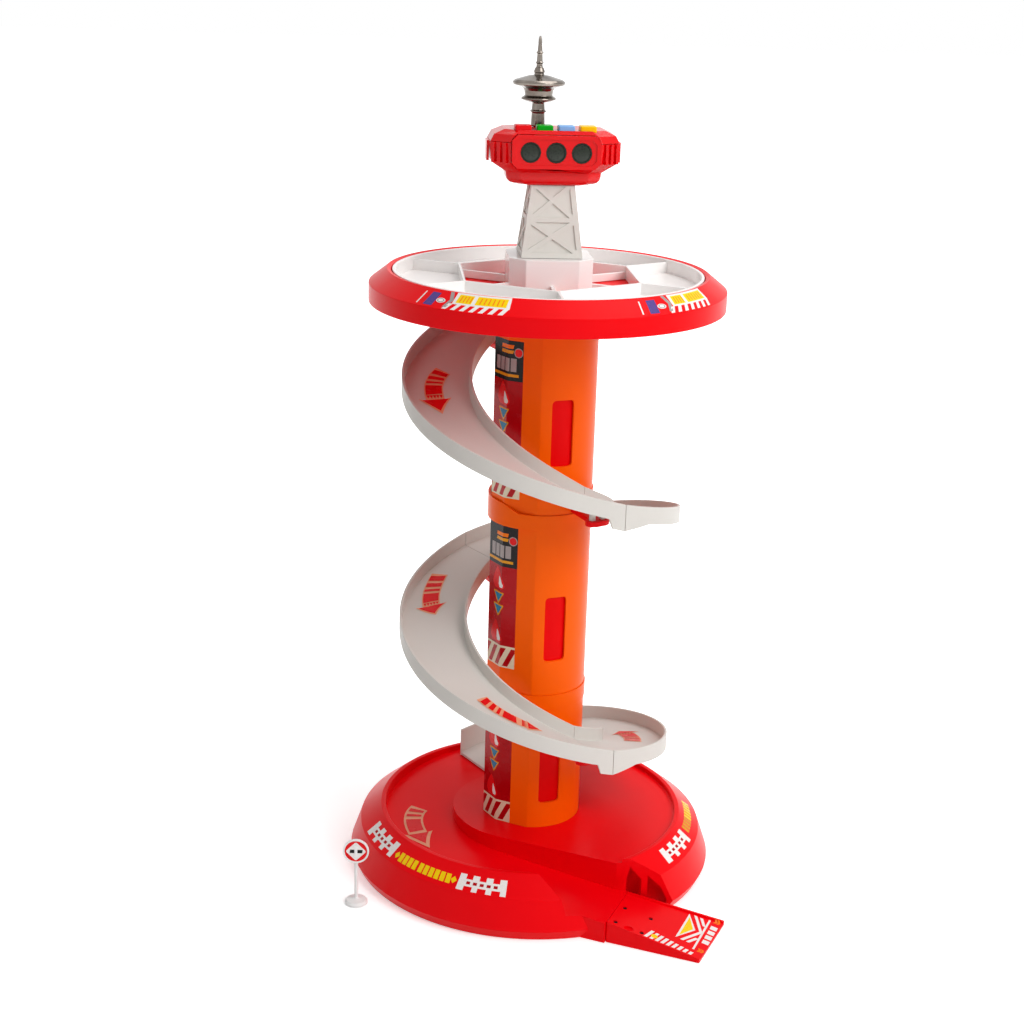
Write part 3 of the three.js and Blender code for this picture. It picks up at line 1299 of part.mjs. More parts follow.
addPiece(garage, 'landing_lower', landingLower, greyPlastic);
addPiece(garage, 'lift_car', makeLiftCar(), whitePlastic);
addPiece(garage, 'lift_knob', makeLiftKnob(), redPlastic);
addPiece(garage, 'deck', makeDeck(), redPlastic);
addPiece(garage, 'top_cap', makeTopCap(), orangePlastic);

const washerSeat = bearingShelf + seatGap;
const screwSeat = washerSeat + washerHeight + seatGap;
addPiece(carousel, 'wheel', makeWheel(), whitePlastic);
const washer = tube(screwRadius + seatGap, washerRadius, washerSeat, washerSeat + washerHeight, boreFacets);
const wheelScrew = screw(screwRadius, screwHeadRadius, screwHeadHeight, wheelScrewLength);
addPiece(garage, 'wheel_washer', washer, steel);
addPiece(garage, 'wheel_screw', wheelScrew.translate([0, 0, screwSeat]), steel);
addPiece(carousel, 'mast', makeMast(), mastGrey);
[['left', -mastScrewSpread], ['right', mastScrewSpread]].forEach(([side, x]) => {
  const body = screw(screwRadius, screwHeadRadius, screwHeadHeight, mastScrewLength);
  addPiece(carousel, `mast_screw_${side}`, upward(body, x, 0, mastTop - mastWall - seatGap), steel);
});
addPiece(carousel, 'pod_lower', makePodLower(), glossyRed);
addPiece(carousel, 'pod_upper', makePodUpper(), glossyRed);
addPiece(carousel, 'pod_panel', makePanel(), glossyRed);
['left', 'middle', 'right'].forEach((side, place) => {
  addPiece(carousel, `lens_${side}`, makeLens((place - 1) * lensPitch), darkLens);
});
buttonNames.forEach((colour, place) => {
  addPiece(carousel, `button_${colour}`, makeButton(buttonPlaces()[place]), paint(buttonColours[colour], 0.35));
});
addPiece(carousel, 'antenna', makeAntenna(), darkChrome);
addPiece(carousel, 'circuit_board', makeBoard(), boardGreen);
[['left', -boardBossSpread], ['right', boardBossSpread]].forEach(([side, x]) => {
  const seat = boardLevel() - boardThickness - seatGap;
  addPiece(carousel, `board_screw_${side}`, upward(smallScrew(), x, -boardBossPlace, seat), steel);
});
addPiece(carousel, 'speaker', makeSpeaker(), blackPlastic);
addPiece(carousel, 'battery_holder', makeHolder(), blackPlastic);
cellPlaces.forEach((x, place) => addPiece(carousel, `cell_${place + 1}`, makeCell(x), steel));
addPiece(carousel, 'battery_door', makeBatteryDoor(), glossyRed);
const doorScrewSeat = podHalfDepth - doorScrewSink + seatGap;
const doorScrew = smallScrew().rotate([-rightAngle, 0, 0]).translate([doorScrewPlace, doorScrewSeat, holderMiddle]);
addPiece(carousel, 'door_screw', doorScrew, steel);

export default garage;
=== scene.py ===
"""Looks of a toy parking tower with a lift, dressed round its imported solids."""

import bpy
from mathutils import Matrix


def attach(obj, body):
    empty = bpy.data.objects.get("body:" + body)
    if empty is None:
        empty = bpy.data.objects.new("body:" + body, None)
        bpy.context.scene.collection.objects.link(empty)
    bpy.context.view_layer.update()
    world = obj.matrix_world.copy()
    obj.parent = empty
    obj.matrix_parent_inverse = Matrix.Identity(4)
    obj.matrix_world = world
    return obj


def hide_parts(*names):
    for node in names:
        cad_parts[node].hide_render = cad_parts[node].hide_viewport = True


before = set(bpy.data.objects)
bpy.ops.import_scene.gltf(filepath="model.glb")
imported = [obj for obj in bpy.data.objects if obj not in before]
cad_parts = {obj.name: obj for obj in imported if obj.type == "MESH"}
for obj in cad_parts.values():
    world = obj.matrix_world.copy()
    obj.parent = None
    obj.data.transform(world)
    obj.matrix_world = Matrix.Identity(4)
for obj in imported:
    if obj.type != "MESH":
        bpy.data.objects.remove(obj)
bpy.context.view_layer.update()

import contextlib
import logging
import math
from collections.abc import Callable, Iterator, Sequence
from dataclasses import dataclass
from enum import Enum

import bpy
from mathutils import Matrix, Vector

LOG = logging.getLogger("parking_tower")
MM = 0.001
MERGE_DISTANCE = 2e-7

Pair = tuple[float, float]
Triple = tuple[float, float, float]
Quad = Colour = tuple[float, float, float, float]
Point = Pair
Outline = Sequence[Point]
Curve = Callable[[float], float]
Spot = tuple[Vector, Vector]
Wrap = Callable[[float, float], Spot]
Piece = bpy.types.Object
Socket = bpy.types.NodeSocket


def linear(code: int) -> Colour:
    """Turns a display colour into a linear one.

    Args:
        code: The colour as 0xRRGGBB.

    Returns:
        Red, green, blue and alpha for a shader socket.
    """
    parts = []
    for shift in (16, 8, 0):
        share = ((code >> shift) & 255) / 255
        parts.append(share / 12.92 if share <= 0.04045 else ((share + 0.055) / 1.055) ** 2.4)
    return parts[0], parts[1], parts[2], 1.0


def polar(radius: float, azimuth: float, height: float = 0.0) -> Vector:
    """Gives the point at a radius, an azimuth from the front towards the right in degrees, and a height."""
    angle = math.radians(azimuth)
    return Vector((radius * math.sin(angle), -radius * math.cos(angle), height))


def upright(profile: Outline, azimuth: float) -> list[Vector]:
    """Stands a profile of radius and height up at an azimuth."""
    return [polar(radius, azimuth, height) for radius, height in profile]


def about(degrees: float) -> Matrix:
    """Turn about the upright axis."""
    return Matrix.Rotation(math.radians(degrees), 4, "Z")


def moved(x: float, y: float, z: float = 0.0) -> Matrix:
    """Shift by three sizes."""
    return Matrix.Translation((x, y, z))


def oblong(left: float, low: float, right: float, high: float) -> list[Point]:
    """Corners of a rectangle."""
    return [(left, low), (right, low), (right, high), (left, high)]


def blend_table(table: Sequence[Point]) -> Curve:
    """Makes a straight-line lookup that stays level beyond its ends.

    Args:
        table: Pairs of place and value, in rising order of place.

    Returns:
        The function from place to value.
    """

    def lookup(place: float) -> float:
        """Reads the table at a place."""
        if place <= table[0][0]:
            return table[0][1]
        for (start, low), (end, high) in zip(table, table[1:]):
            if place <= end:
                return low + (high - low) * (place - start) / (end - start)
        return table[-1][1]

    return lookup


class Bench:
    """Moves of the modelling bench, each made with Blender's own operators. Sizes are in millimetres."""

    @staticmethod
    def rest() -> None:
        """Leaves edit mode with nothing selected."""
        if bpy.context.object and bpy.context.object.mode != "OBJECT":
            bpy.ops.object.mode_set(mode="OBJECT")
        bpy.ops.object.select_all(action="DESELECT")

    @staticmethod
    def pick(*pieces: Piece) -> None:
        """Selects pieces, the first of them active."""
        Bench.rest()
        for piece in pieces:
            piece.select_set(True)
        bpy.context.view_layer.objects.active = pieces[0]

    @staticmethod
    @contextlib.contextmanager
    def editing(piece: Piece) -> Iterator[None]:
        """Opens a piece in edit mode with all of it selected, and closes it again.

        Args:
            piece: The piece.

        Yields:
            Nothing, while the piece is open.
        """
        Bench.pick(piece)
        bpy.ops.object.mode_set(mode="EDIT")
        bpy.ops.mesh.select_mode(type="VERT")
        bpy.ops.mesh.select_all(action="SELECT")
        yield
        Bench.rest()

    @staticmethod
    def turn_out() -> None:
        """Points all faces of the piece that is being edited outwards."""
        bpy.ops.mesh.select_all(action="SELECT")
        bpy.ops.mesh.normals_make_consistent(inside=False)

    @staticmethod
    def close() -> None:
        """Closes the open ends of the piece that is being edited and points its faces outwards."""
        bpy.ops.mesh.select_all(action="SELECT")
        bpy.ops.mesh.fill_holes(sides=0)
        Bench.turn_out()

    @staticmethod
    def settled() -> Piece:
        """Applies the place, turn and scale of the active object, and returns it."""
        bpy.ops.object.transform_apply(location=True, rotation=True, scale=True)
        return bpy.context.object

    @staticmethod
    def added(name: str, data: bpy.types.ID) -> Piece:
        """Puts data into the scene as an object of its own."""
        piece = bpy.data.objects.new(name, data)
        bpy.context.scene.collection.objects.link(piece)
        return piece

    @staticmethod
    def wire(points: Sequence[Vector], closed: bool = True) -> Piece:
        """Draws a line of edges, one extruded point after the other.

        Args:
            points: Its corners.
            closed: Whether the last corner joins the first.

        Returns:
            The object.
        """
        Bench.rest()
        bpy.ops.mesh.primitive_plane_add(size=MM)
        piece = bpy.context.object
        ring = [Vector(point) * MM for point in points]
        if closed:
            ring.append(ring[0])
        with Bench.editing(piece):
            bpy.ops.mesh.merge(type="CENTER")
            bpy.ops.transform.translate(value=ring[0])
            for start, end in zip(ring, ring[1:]):
                bpy.ops.mesh.extrude_vertices_move(TRANSFORM_OT_translate={"value": end - start})
            bpy.ops.mesh.select_all(action="SELECT")
            bpy.ops.mesh.remove_doubles(threshold=MERGE_DISTANCE)
        return piece

    @staticmethod
    def plate(points: Sequence[Vector]) -> Piece:
        """Fills a closed line of edges with one face."""
        piece = Bench.wire(points)
        with Bench.editing(piece):
            bpy.ops.mesh.edge_face_add()
        return piece

    @staticmethod
    def prism(outline: Outline, bottom: float, top: float) -> Piece:
        """Extrudes an outline upwards.

        Args:
            outline: Corners in plan.
            bottom: Height of the lower face.
            top: Height of the upper face.

        Returns:
            The closed solid.
        """
        piece = Bench.plate([Vector((x, y, bottom)) for x, y in outline])
        with Bench.editing(piece):
            bpy.ops.mesh.extrude_region_move(TRANSFORM_OT_translate={"value": (0, 0, (top - bottom) * MM)})
            Bench.turn_out()
        return piece

    @staticmethod
    def spun(profile: Outline, steps: int, start: float = 0.0, turn: float = 360.0, closed: bool = True) -> Piece:
        """Spins a profile of radius and height about the upright axis.

        Args:
            profile: Corners as radius and height.
            steps: Steps of the spin.
            start: Azimuth at which the spin starts, in degrees.
            turn: Degrees that it covers.
            closed: Whether the profile closes on itself; if not, both its ends lie on the axis.

        Returns:
            The closed solid.
        """
        piece = Bench.wire(upright(profile, start), closed)
        with Bench.editing(piece):
            bpy.ops.mesh.spin(steps=steps, angle=-math.radians(turn), center=(0, 0, 0), axis=(0, 0, 1))
            bpy.ops.mesh.select_all(action="SELECT")
            bpy.ops.mesh.remove_doubles(threshold=MERGE_DISTANCE)
            if turn < 360:
                Bench.close()
            else:
                Bench.turn_out()
        return piece

    @staticmethod
    def screwed(profile: Outline, steps: int, start: float, turn: float, rise: float) -> Piece:
        """Sweeps a closed profile about the upright axis while it climbs or falls evenly.

        Args:
            profile: Corners as radius and height at the start.
            steps: Steps of the sweep.
            start: Azimuth of the start in degrees.
            turn: Degrees that it covers.
            rise: Change of height over the sweep.

        Returns:
            The closed solid.
        """
        piece = Bench.wire(upright(profile, start))
        sweep = piece.modifiers.new("sweep", "SCREW")
        sweep.axis = "Z"
        sweep.angle = math.radians(turn)
        sweep.screw_offset = rise * MM
        sweep.steps = sweep.render_steps = steps
        Bench.apply(piece)
        with Bench.editing(piece):
            bpy.ops.mesh.remove_doubles(threshold=MERGE_DISTANCE)
            Bench.close()
        return piece

    @staticmethod
    def lofted(sections: Sequence[Sequence[Vector]]) -> Piece:
        """Bridges a row of closed sections with the same number of corners into a closed solid.

        Args:
            sections: The corners of each section.

        Returns:
            The closed solid.
        """
        piece = Bench.gather([Bench.wire(section) for section in sections])
        with Bench.editing(piece):
            bpy.ops.mesh.bridge_edge_loops(type="SINGLE")
            Bench.close()
        return piece

    @staticmethod
    def block(low: Sequence[float], high: Sequence[float]) -> Piece:
        """Adds a box between its lowest and its highest corner."""
        Bench.rest()
        start, end = Vector(low) * MM, Vector(high) * MM
        bpy.ops.mesh.primitive_cube_add(size=1, location=(start + end) / 2, scale=end - start)
        return Bench.settled()

    @staticmethod
    def rod(radius: float, bottom: float, top: float, x: float = 0, y: float = 0, sides: int = 48) -> Piece:
        """Adds an upright round bar.

        Args:
            radius: Its radius.
            bottom: Height of its lower face.
            top: Height of its upper face.
            x, y: Place of its axis.
            sides: Faces round it.

        Returns:
            The closed solid.
        """
        Bench.rest()
        middle = Vector((x, y, (bottom + top) / 2)) * MM
        depth = (top - bottom) * MM
        bpy.ops.mesh.primitive_cylinder_add(vertices=sides, radius=radius * MM, depth=depth, location=middle)
        return Bench.settled()

    @staticmethod
    def sliced(piece: Piece, point: Sequence[float], normal: Sequence[float]) -> Piece:
        """Cuts off all of a solid that lies beyond a plane, on the side its normal points to, and closes it.

        Args:
            piece: The solid.
            point: A point of the plane.
            normal: Its normal.

        Returns:
            The piece.
        """
        with Bench.editing(piece):
            bpy.ops.mesh.bisect(plane_co=Vector(point) * MM, plane_no=normal, use_fill=True, clear_outer=True)
            Bench.turn_out()
        return piece

    @staticmethod
    def apply(piece: Piece) -> None:
        """Applies every modifier of a piece, in order."""
        Bench.pick(piece)
        for modifier in list(piece.modifiers):
            bpy.ops.object.modifier_apply(modifier=modifier.name)

    @staticmethod
    def place(piece: Piece, matrix: Matrix) -> Piece:
        """Moves a piece's mesh by a matrix in millimetres and leaves the object at the origin.

        Args:
            piece: The piece.
            matrix: The move.

        Returns:
            The piece.
        """
        shifted = matrix.copy()
        shifted.translation *= MM
        piece.matrix_world = shifted
        Bench.pick(piece)
        return Bench.settled()

    @staticmethod
    def combine(piece: Piece, others: Sequence[Piece], operation: str) -> Piece:
        """Joins, cuts or intersects a solid with others, which are used up.

        Args:
            piece: The solid that is changed.
            others: The solids that it is combined with.
            operation: UNION, DIFFERENCE or INTERSECT.

        Returns:
            The changed solid.
        """
        for other in others:
            modifier = piece.modifiers.new("combine", "BOOLEAN")
            modifier.operation = operation
            modifier.solver = "EXACT"
            modifier.object = other
            Bench.apply(piece)
            bpy.data.objects.remove(other)
        return piece

    @staticmethod
    def cut(piece: Piece, *cutters: Piece) -> Piece:
        """Cuts solids out of a piece."""
        return Bench.combine(piece, cutters, "DIFFERENCE")

    @staticmethod
    def weld(piece: Piece, *others: Piece) -> Piece:
        """Joins overlapping solids into one."""
        return Bench.combine(piece, others, "UNION")

    @staticmethod
    def gather(pieces: Sequence[Piece]) -> Piece:
        """Puts several pieces into one object, each as it is."""
        Bench.pick(*pieces)
        if len(pieces) > 1:
            bpy.ops.object.join()
        return bpy.context.object

    @staticmethod
    def twin(node: str) -> Piece:
        """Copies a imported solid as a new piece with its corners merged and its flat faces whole.

        Args:
            node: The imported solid's name.

        Returns:
            The new piece.
        """
        Bench.rest()
        piece = Bench.added(f"{node}_twin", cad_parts[node].data.copy())
        with Bench.editing(piece):
            bpy.ops.mesh.remove_doubles(threshold=1e-6)
            bpy.ops.mesh.select_all(action="SELECT")
            bpy.ops.mesh.dissolve_limited(angle_limit=math.radians(0.6))
            bpy.ops.mesh.select_all(action="SELECT")
            bpy.ops.mesh.customdata_custom_splitnormals_clear()
        return piece

    @staticmethod
    def ease(piece: Piece, width: float, segments: int = 2, angle: float = 30.0) -> Piece:
        """Rounds the sharp edges of a piece.

        Args:
            piece: The piece.
            width: Width of the rounding.
            segments: Faces across it.
            angle: Least angle between faces that counts as an edge, in degrees.

        Returns:
            The piece.
        """
        bevel = piece.modifiers.new("edges", "BEVEL")
        bevel.width = width * MM
        bevel.segments = segments
        bevel.limit_method = "ANGLE"
        bevel.angle_limit = math.radians(angle)
        bevel.use_clamp_overlap = True
        Bench.apply(piece)
        return piece

    @staticmethod
    def smooth(piece: Piece, angle: float = 32.0) -> None:
        """Shades a piece smoothly over its gentle edges.

        Args:
            piece: The piece.
            angle: Greatest angle that is shaded smooth, in degrees.
        """
        Bench.pick(piece)
        bpy.ops.object.shade_smooth_by_angle(angle=math.radians(angle))
        weigh = piece.modifiers.new("normals", "WEIGHTED_NORMAL")
        weigh.keep_sharp = True
        weigh.weight = 100
        Bench.apply(piece)
        Bench.rest()


class Nodes:
    """Small pen for drawing shader nodes."""

    def __init__(self, name: str) -> None:
        """Starts an empty material.

        Args:
            name: The material's name.
        """
        self.material = bpy.data.materials.new(name)
        self.material.use_nodes = True
        self.tree = self.material.node_tree
        self.tree.nodes.clear()
        self.output = self.tree.nodes.new("ShaderNodeOutputMaterial")
        self.coords = self.tree.nodes.new("ShaderNodeTexCoord").outputs["Object"]

    def add(self, kind: str, **sockets: object) -> bpy.types.Node:
        """Adds a node and fills its inputs.

        Args:
            kind: The node's type without its ShaderNode prefix.
            **sockets: Inputs by name, with underscores for spaces: a value, or a socket that is linked.

        Returns:
            The node.
        """
        node = self.tree.nodes.new("ShaderNode" + kind)
        for key, value in sockets.items():
            socket = node.inputs[key.replace("_", " ")]
            if isinstance(value, Socket):
                self.tree.links.new(value, socket)
            else:
                socket.default_value = value
        return node

    def noise(self, scale: float, detail: float = 3.0, stretch: Sequence[float] = (1, 1, 1)) -> Socket:
        """Makes noise on the object's own coordinates.

        Args:
            scale: Spots per metre.
            detail: Octaves.
            stretch: Scale along each axis.

        Returns:
            The noise's factor.
        """
        place = self.add("Mapping", Vector=self.coords, Scale=tuple(stretch))
        return self.add("TexNoise", Vector=place.outputs[0], Scale=scale, Detail=detail).outputs["Fac"]

    def ranged(self, value: Socket, low: float, high: float, start: float = 0.3, end: float = 0.7) -> Socket:
        """Maps a factor to a range.

        Args:
            value: The factor.
            low: Result at the start.
            high: Result at the end.
            start: Factor that gives the low result.
            end: Factor that gives the high result.

        Returns:
            The mapped socket.
        """
        mapped = self.add("MapRange", Value=value)
        for index, number in enumerate((start, end, low, high), start=1):
            mapped.inputs[index].default_value = number
        return mapped.outputs[0]

    def mixed(self, factor: Socket, first: Socket | Sequence[float], second: Sequence[float]) -> Socket:
        """Mixes two colours by a factor.

        Args:
            factor: Share of the second colour.
            first: A colour, or a socket that gives one.
            second: The other colour.

        Returns:
            The mix's socket.
        """
        mix = self.tree.nodes.new("ShaderNodeMix")
        mix.data_type = "RGBA"
        self.tree.links.new(factor, mix.inputs[0])
        for socket, colour in ((mix.inputs[6], first), (mix.inputs[7], second)):
            if isinstance(colour, Socket):
                self.tree.links.new(colour, socket)
            else:
                socket.default_value = tuple(colour)
        return mix.outputs[2]

    def bump(self, height: Socket, strength: float, distance: float, under: Socket | None = None) -> Socket:
        """Adds a bump and returns its normal.

        Args:
            height: The height.
            strength: Share of the bump that shows.
            distance: Its depth in metres.
            under: A normal that it is laid on.

        Returns:
            The normal's socket.
        """
        node = self.add("Bump", Height=height, Strength=strength, Distance=distance)
        if under is not None:
            self.tree.links.new(under, node.inputs["Normal"])
        return node.outputs[0]

    def finish(self, shader: bpy.types.Node) -> bpy.types.Material:
        """Links the shader to the output and returns the material."""
        self.tree.links.new(shader.outputs[0], self.output.inputs[0])
        return self.material


def scaled(colour: Colour, share: float) -> Colour:
    """Makes a colour lighter or darker by a share."""
    return tuple(min(1.0, part * share) for part in colour[:3]) + (colour[3],)


@dataclass(frozen=True)
class MouldedPlastic:
    """Injection-moulded plastic: slight flow clouds, fine tool grain, handling scuffs and an uneven gloss."""

    name: str
    slot: str
    code: int
    roughness: float
    grain: float = 0.08
    clouds: float = 0.02
    coat: float = 0.0
    shine: float = 0.09

    def build(self) -> bpy.types.Material:
        """Draws the finish's nodes.

        Returns:
            The material.
        """
        pen = Nodes(self.name)
        colour = linear(self.code)
        flow = pen.noise(14, 2, (1, 1, 0.35))
        speck = pen.noise(420, 2)
        body = pen.mixed(pen.ranged(flow, 0, 1), scaled(colour, 1 - self.clouds), scaled(colour, 1 + self.clouds))
        body = pen.mixed(pen.ranged(speck, 0, 0.2, 0.6, 0.8), body, scaled(colour, 0.9))
        scuffs = pen.noise(38, 4, (1, 1.6, 1.2))
        gloss = pen.ranged(scuffs, self.roughness - 0.01, self.roughness + 0.03, 0.4, 0.75)
        grain = pen.noise(1500, 2)
        waves = pen.noise(16, 1)
        normal = pen.bump(waves, 0.05, 0.0003)
        normal = pen.bump(grain, self.grain, 0.00006, normal)
        film = {"Specular_IOR_Level": self.shine, "Coat_Weight": self.coat, "Coat_Roughness": 0.06}
        return pen.finish(pen.add("BsdfPrincipled", Base_Color=body, Roughness=gloss, Normal=normal, IOR=1.49, **film))


@dataclass(frozen=True)
class PrintedInk:
    """Ink on a glossy label: a fine screen in the colour under a smooth film."""

    name: str
    code: int

    def build(self) -> bpy.types.Material:
        """Draws the ink's nodes.

        Returns:
            The material.
        """
        pen = Nodes(self.name)
        colour = linear(self.code)
        screen = pen.add("TexVoronoi", Vector=pen.coords, Scale=1900.0).outputs["Distance"]
        tone = pen.mixed(pen.ranged(screen, 0, 1, 0.1, 0.7), scaled(colour, 1.04), scaled(colour, 0.92))
        film = pen.ranged(pen.noise(90, 4), 0.2, 0.34, 0.4, 0.7)
        normal = pen.bump(pen.noise(700, 2), 0.06, 0.0002)
        shine = {"IOR": 1.5, "Specular_IOR_Level": 0.14}
        return pen.finish(pen.add("BsdfPrincipled", Base_Color=tone, Roughness=film, Normal=normal, **shine))


@dataclass(frozen=True)
class Metal:
    """Metal surface: plated, smoked or drawn, with uneven gloss."""

    name: str
    slot: str
    code: int
    shade: int
    roughness: float
    stretch: Triple = (1, 1, 1)

    def build(self) -> bpy.types.Material:
        """Draws the metal's nodes.

        Returns:
            The material.
        """
        pen = Nodes(self.name)
        haze = pen.noise(70, 4, self.stretch)
        colour = pen.mixed(pen.ranged(haze, 0, 1), linear(self.code), linear(self.shade))
        lines = pen.noise(900, 3, self.stretch)
        gloss = pen.ranged(lines, self.roughness - 0.05, self.roughness + 0.08)
        normal = pen.bump(lines, 0.05, 0.0001)
        return pen.finish(pen.add("BsdfPrincipled", Base_Color=colour, Roughness=gloss, Normal=normal, Metallic=1.0))


@dataclass(frozen=True)
class DarkLens:
    """Nearly opaque smoked window with a faint ring pattern of the grille behind it."""

    name: str = "smoked_window"
    slot: str = "dark_lens"
    code: int = 0x222A20
    shade: int = 0x0B0E0A

    def build(self) -> bpy.types.Material:
        """Draws the window's nodes.

        Returns:
            The material.
        """
        pen = Nodes(self.name)
        dots = pen.add("TexVoronoi", Vector=pen.coords, Scale=560.0).outputs["Distance"]
        cloud = pen.noise(60, 3)
        mesh = pen.mixed(pen.ranged(dots, 0, 1, 0.2, 0.5), linear(self.shade), linear(self.code))
        colour = pen.mixed(pen.ranged(cloud, 0.2, 0.8), mesh, linear(0x2A3026))
        gloss = pen.ranged(pen.noise(130, 3), 0.05, 0.13)
        film = {"Specular_IOR_Level": 0.22, "Coat_Weight": 0.1, "Coat_Roughness": 0.03}
        return pen.finish(pen.add("BsdfPrincipled", Base_Color=colour, Roughness=gloss, **film))


class Finish(Enum):
    """Finishes of the tower, each built once."""

    RED = MouldedPlastic("red_moulding", "red_plastic", 0xF0000C, 0.3)
    GLOSS_RED = MouldedPlastic("glossy_red_moulding", "red_housing", 0xE40006, 0.2, grain=0.01, coat=0.12, shine=0.2)
    ORANGE = MouldedPlastic("orange_moulding", "orange_plastic", 0xFF6000, 0.32)
    WINDOW_RED = MouldedPlastic("window_backing", "window_red", 0xEA0004, 0.4, shine=0.08)
    GREY = MouldedPlastic("grey_moulding", "grey_plastic", 0xD6D2CC, 0.42, grain=0.14)
    MAST_GREY = MouldedPlastic("mast_moulding", "mast_grey", 0xDCD9D2, 0.46, grain=0.14)
    WHITE = MouldedPlastic("white_moulding", "white_plastic", 0xF6F3F1, 0.17, grain=0.03, coat=0.3)
    SIGN_WHITE = MouldedPlastic("sign_white", "white_plastic", 0xF2F1F0, 0.3)
    BLACK = MouldedPlastic("black_moulding", "black_plastic", 0x1A1B1D, 0.45)
    BOARD = MouldedPlastic("board_lacquer", "board_green", 0x1C6B38, 0.4)
    BUTTON_RED = MouldedPlastic("key_moulding_red", "button_red", 0xE8141C, 0.3)
    BUTTON_GREEN = MouldedPlastic("key_moulding_green", "button_green", 0x08A61A, 0.3)
    BUTTON_BLUE = MouldedPlastic("key_moulding_blue", "button_blue", 0x86B8EE, 0.3)
    BUTTON_YELLOW = MouldedPlastic("key_moulding_yellow", "button_yellow", 0xFBC70A, 0.3)
    SMOKED_CHROME = Metal("smoked_chrome", "dark_chrome", 0x8F877F, 0x5E554E, 0.16)
    STEEL = Metal("zinc_steel", "steel", 0xC3C6C9, 0xA2A5A8, 0.3, (1, 1, 6))
    LENS = DarkLens()
    INK_BLACK = PrintedInk("ink_black", 0x171415)
    INK_DARK_RED = PrintedInk("ink_dark_red", 0xB4000C)
    INK_RED = PrintedInk("ink_red", 0xE8141A)
    INK_WHITE = PrintedInk("ink_white", 0xF4EFEC)
    INK_CREAM = PrintedInk("ink_cream", 0xE8DCC0)
    INK_SALMON = PrintedInk("ink_salmon", 0xF2A884)
    INK_YELLOW = PrintedInk("ink_yellow", 0xFFD400)
    INK_AMBER = PrintedInk("ink_amber", 0xE89A1A)
    INK_ORANGE = PrintedInk("ink_orange", 0xFF7A08)
    INK_BLUE = PrintedInk("ink_blue", 0x1E7FA8)
    INK_PURPLE = PrintedInk("ink_purple", 0x55408C)
    INK_GREY = PrintedInk("ink_grey", 0xA89A98)

    @property
    def material(self) -> bpy.types.Material:
        """The finish's material, drawn when it is first asked for."""
        found = bpy.data.materials.get(self.value.name)
        return found if found else self.value.build()


def dress(piece: Piece, finish: Finish) -> Piece:
    """Gives a piece one finish all over.

    Args:
        piece: The piece.
        finish: Its finish.

    Returns:
        The piece.
    """
    piece.data.materials.clear()
    piece.data.materials.append(finish.material)
    for polygon in piece.data.polygons:
        polygon.material_index = 0
    return piece


def report(piece: Piece, name: str, body: str) -> None:
    """Names a finished piece, rides it on its body and logs it."""
    piece.name = name
    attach(piece, body)
    LOG.info("%s: %d faces on %s", name, len(piece.data.polygons), body)


def seat(piece: Piece, name: str, finish: Finish, body: str, node: str = "", angle: float = 32.0) -> None:
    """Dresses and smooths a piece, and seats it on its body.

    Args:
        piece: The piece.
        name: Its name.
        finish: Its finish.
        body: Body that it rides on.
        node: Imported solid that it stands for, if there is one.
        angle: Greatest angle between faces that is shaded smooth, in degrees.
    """
    Bench.smooth(dress(piece, finish), angle)
    report(piece, name, body)
    if node:
        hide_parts(node)


def arc(radius: float, start: float, end: float, count: int, x: float = 0.0, y: float = 0.0) -> list[Point]:
    """Points along an arc in plan between two azimuths.

    Args:
        radius: Its radius.
        start: Azimuth of the first point in degrees.
        end: Azimuth of the last point.
        count: Steps between them.
        x, y: Its centre.

    Returns:
        The points, both ends included.
    """
    spots = [polar(radius, start + (end - start) * step / count) for step in range(count + 1)]
    return [(spot.x + x, spot.y + y) for spot in spots]


def circle(radius: float, count: int = 96, x: float = 0.0, y: float = 0.0) -> list[Point]:
    """Points of a circle in plan."""
    return arc(radius, 0, 360, count, x, y)[:-1]


def softened(outline: Outline, radius: float, steps: int = 3, least: float = 12.0) -> list[Point]:
    """Rounds the corners of a closed outline.

    Args:
        outline: Its corners.
        radius: Radius of the rounding, smaller where a side is short.
        steps: Steps across each corner.
        least: Least turn at a corner that is rounded, in degrees.

    Returns:
        The new corners.
    """
    result = []
    count = len(outline)
    for place, corner in enumerate(outline):
        here = Vector(corner)
        back = Vector(outline[place - 1]) - here
        ahead = Vector(outline[(place + 1) % count]) - here
        turn = math.pi - back.angle(ahead)
        if math.degrees(turn) < least:
            result.append(tuple(here))
            continue
        reach = min(radius * math.tan(turn / 2), 0.45 * back.length, 0.45 * ahead.length)
        start, end = here + back.normalized() * reach, here + ahead.normalized() * reach
        for step in range(steps + 1):
            share = step / steps
            point = start * (1 - share) ** 2 + here * 2 * share * (1 - share) + end * share**2
            result.append(tuple(point))
    return result


def rounded_rectangle(width: float, bottom: float, top: float, corner: float, steps: int = 6) -> list[Point]:
    """Outline of a rectangle with round corners about the middle of its width."""
    return softened(oblong(-width / 2, bottom, width / 2, top), corner, steps)


def facing(azimuth: float, x: float = 0.0, y: float = 0.0, z: float = 0.0) -> Matrix:
    """Frame at an azimuth whose X runs across, Y up and Z away from the axis.

    Args:
        azimuth: The azimuth.
        x, y, z: Place of its origin.

    Returns:
        The frame as a matrix.
    """
    angle = math.radians(azimuth)
    across = Vector((math.cos(angle), math.sin(angle), 0))
    up = Vector((0, 0, 1))
    out = across.cross(up)
    return moved(x, y, z) @ Matrix((across, up, out)).transposed().to_4x4()


@dataclass(frozen=True)
class Patch:
    """One printed patch: its ink, its outline on the label and the layer that it lies on."""

    ink: Finish
    outline: Outline
    layer: int = 1


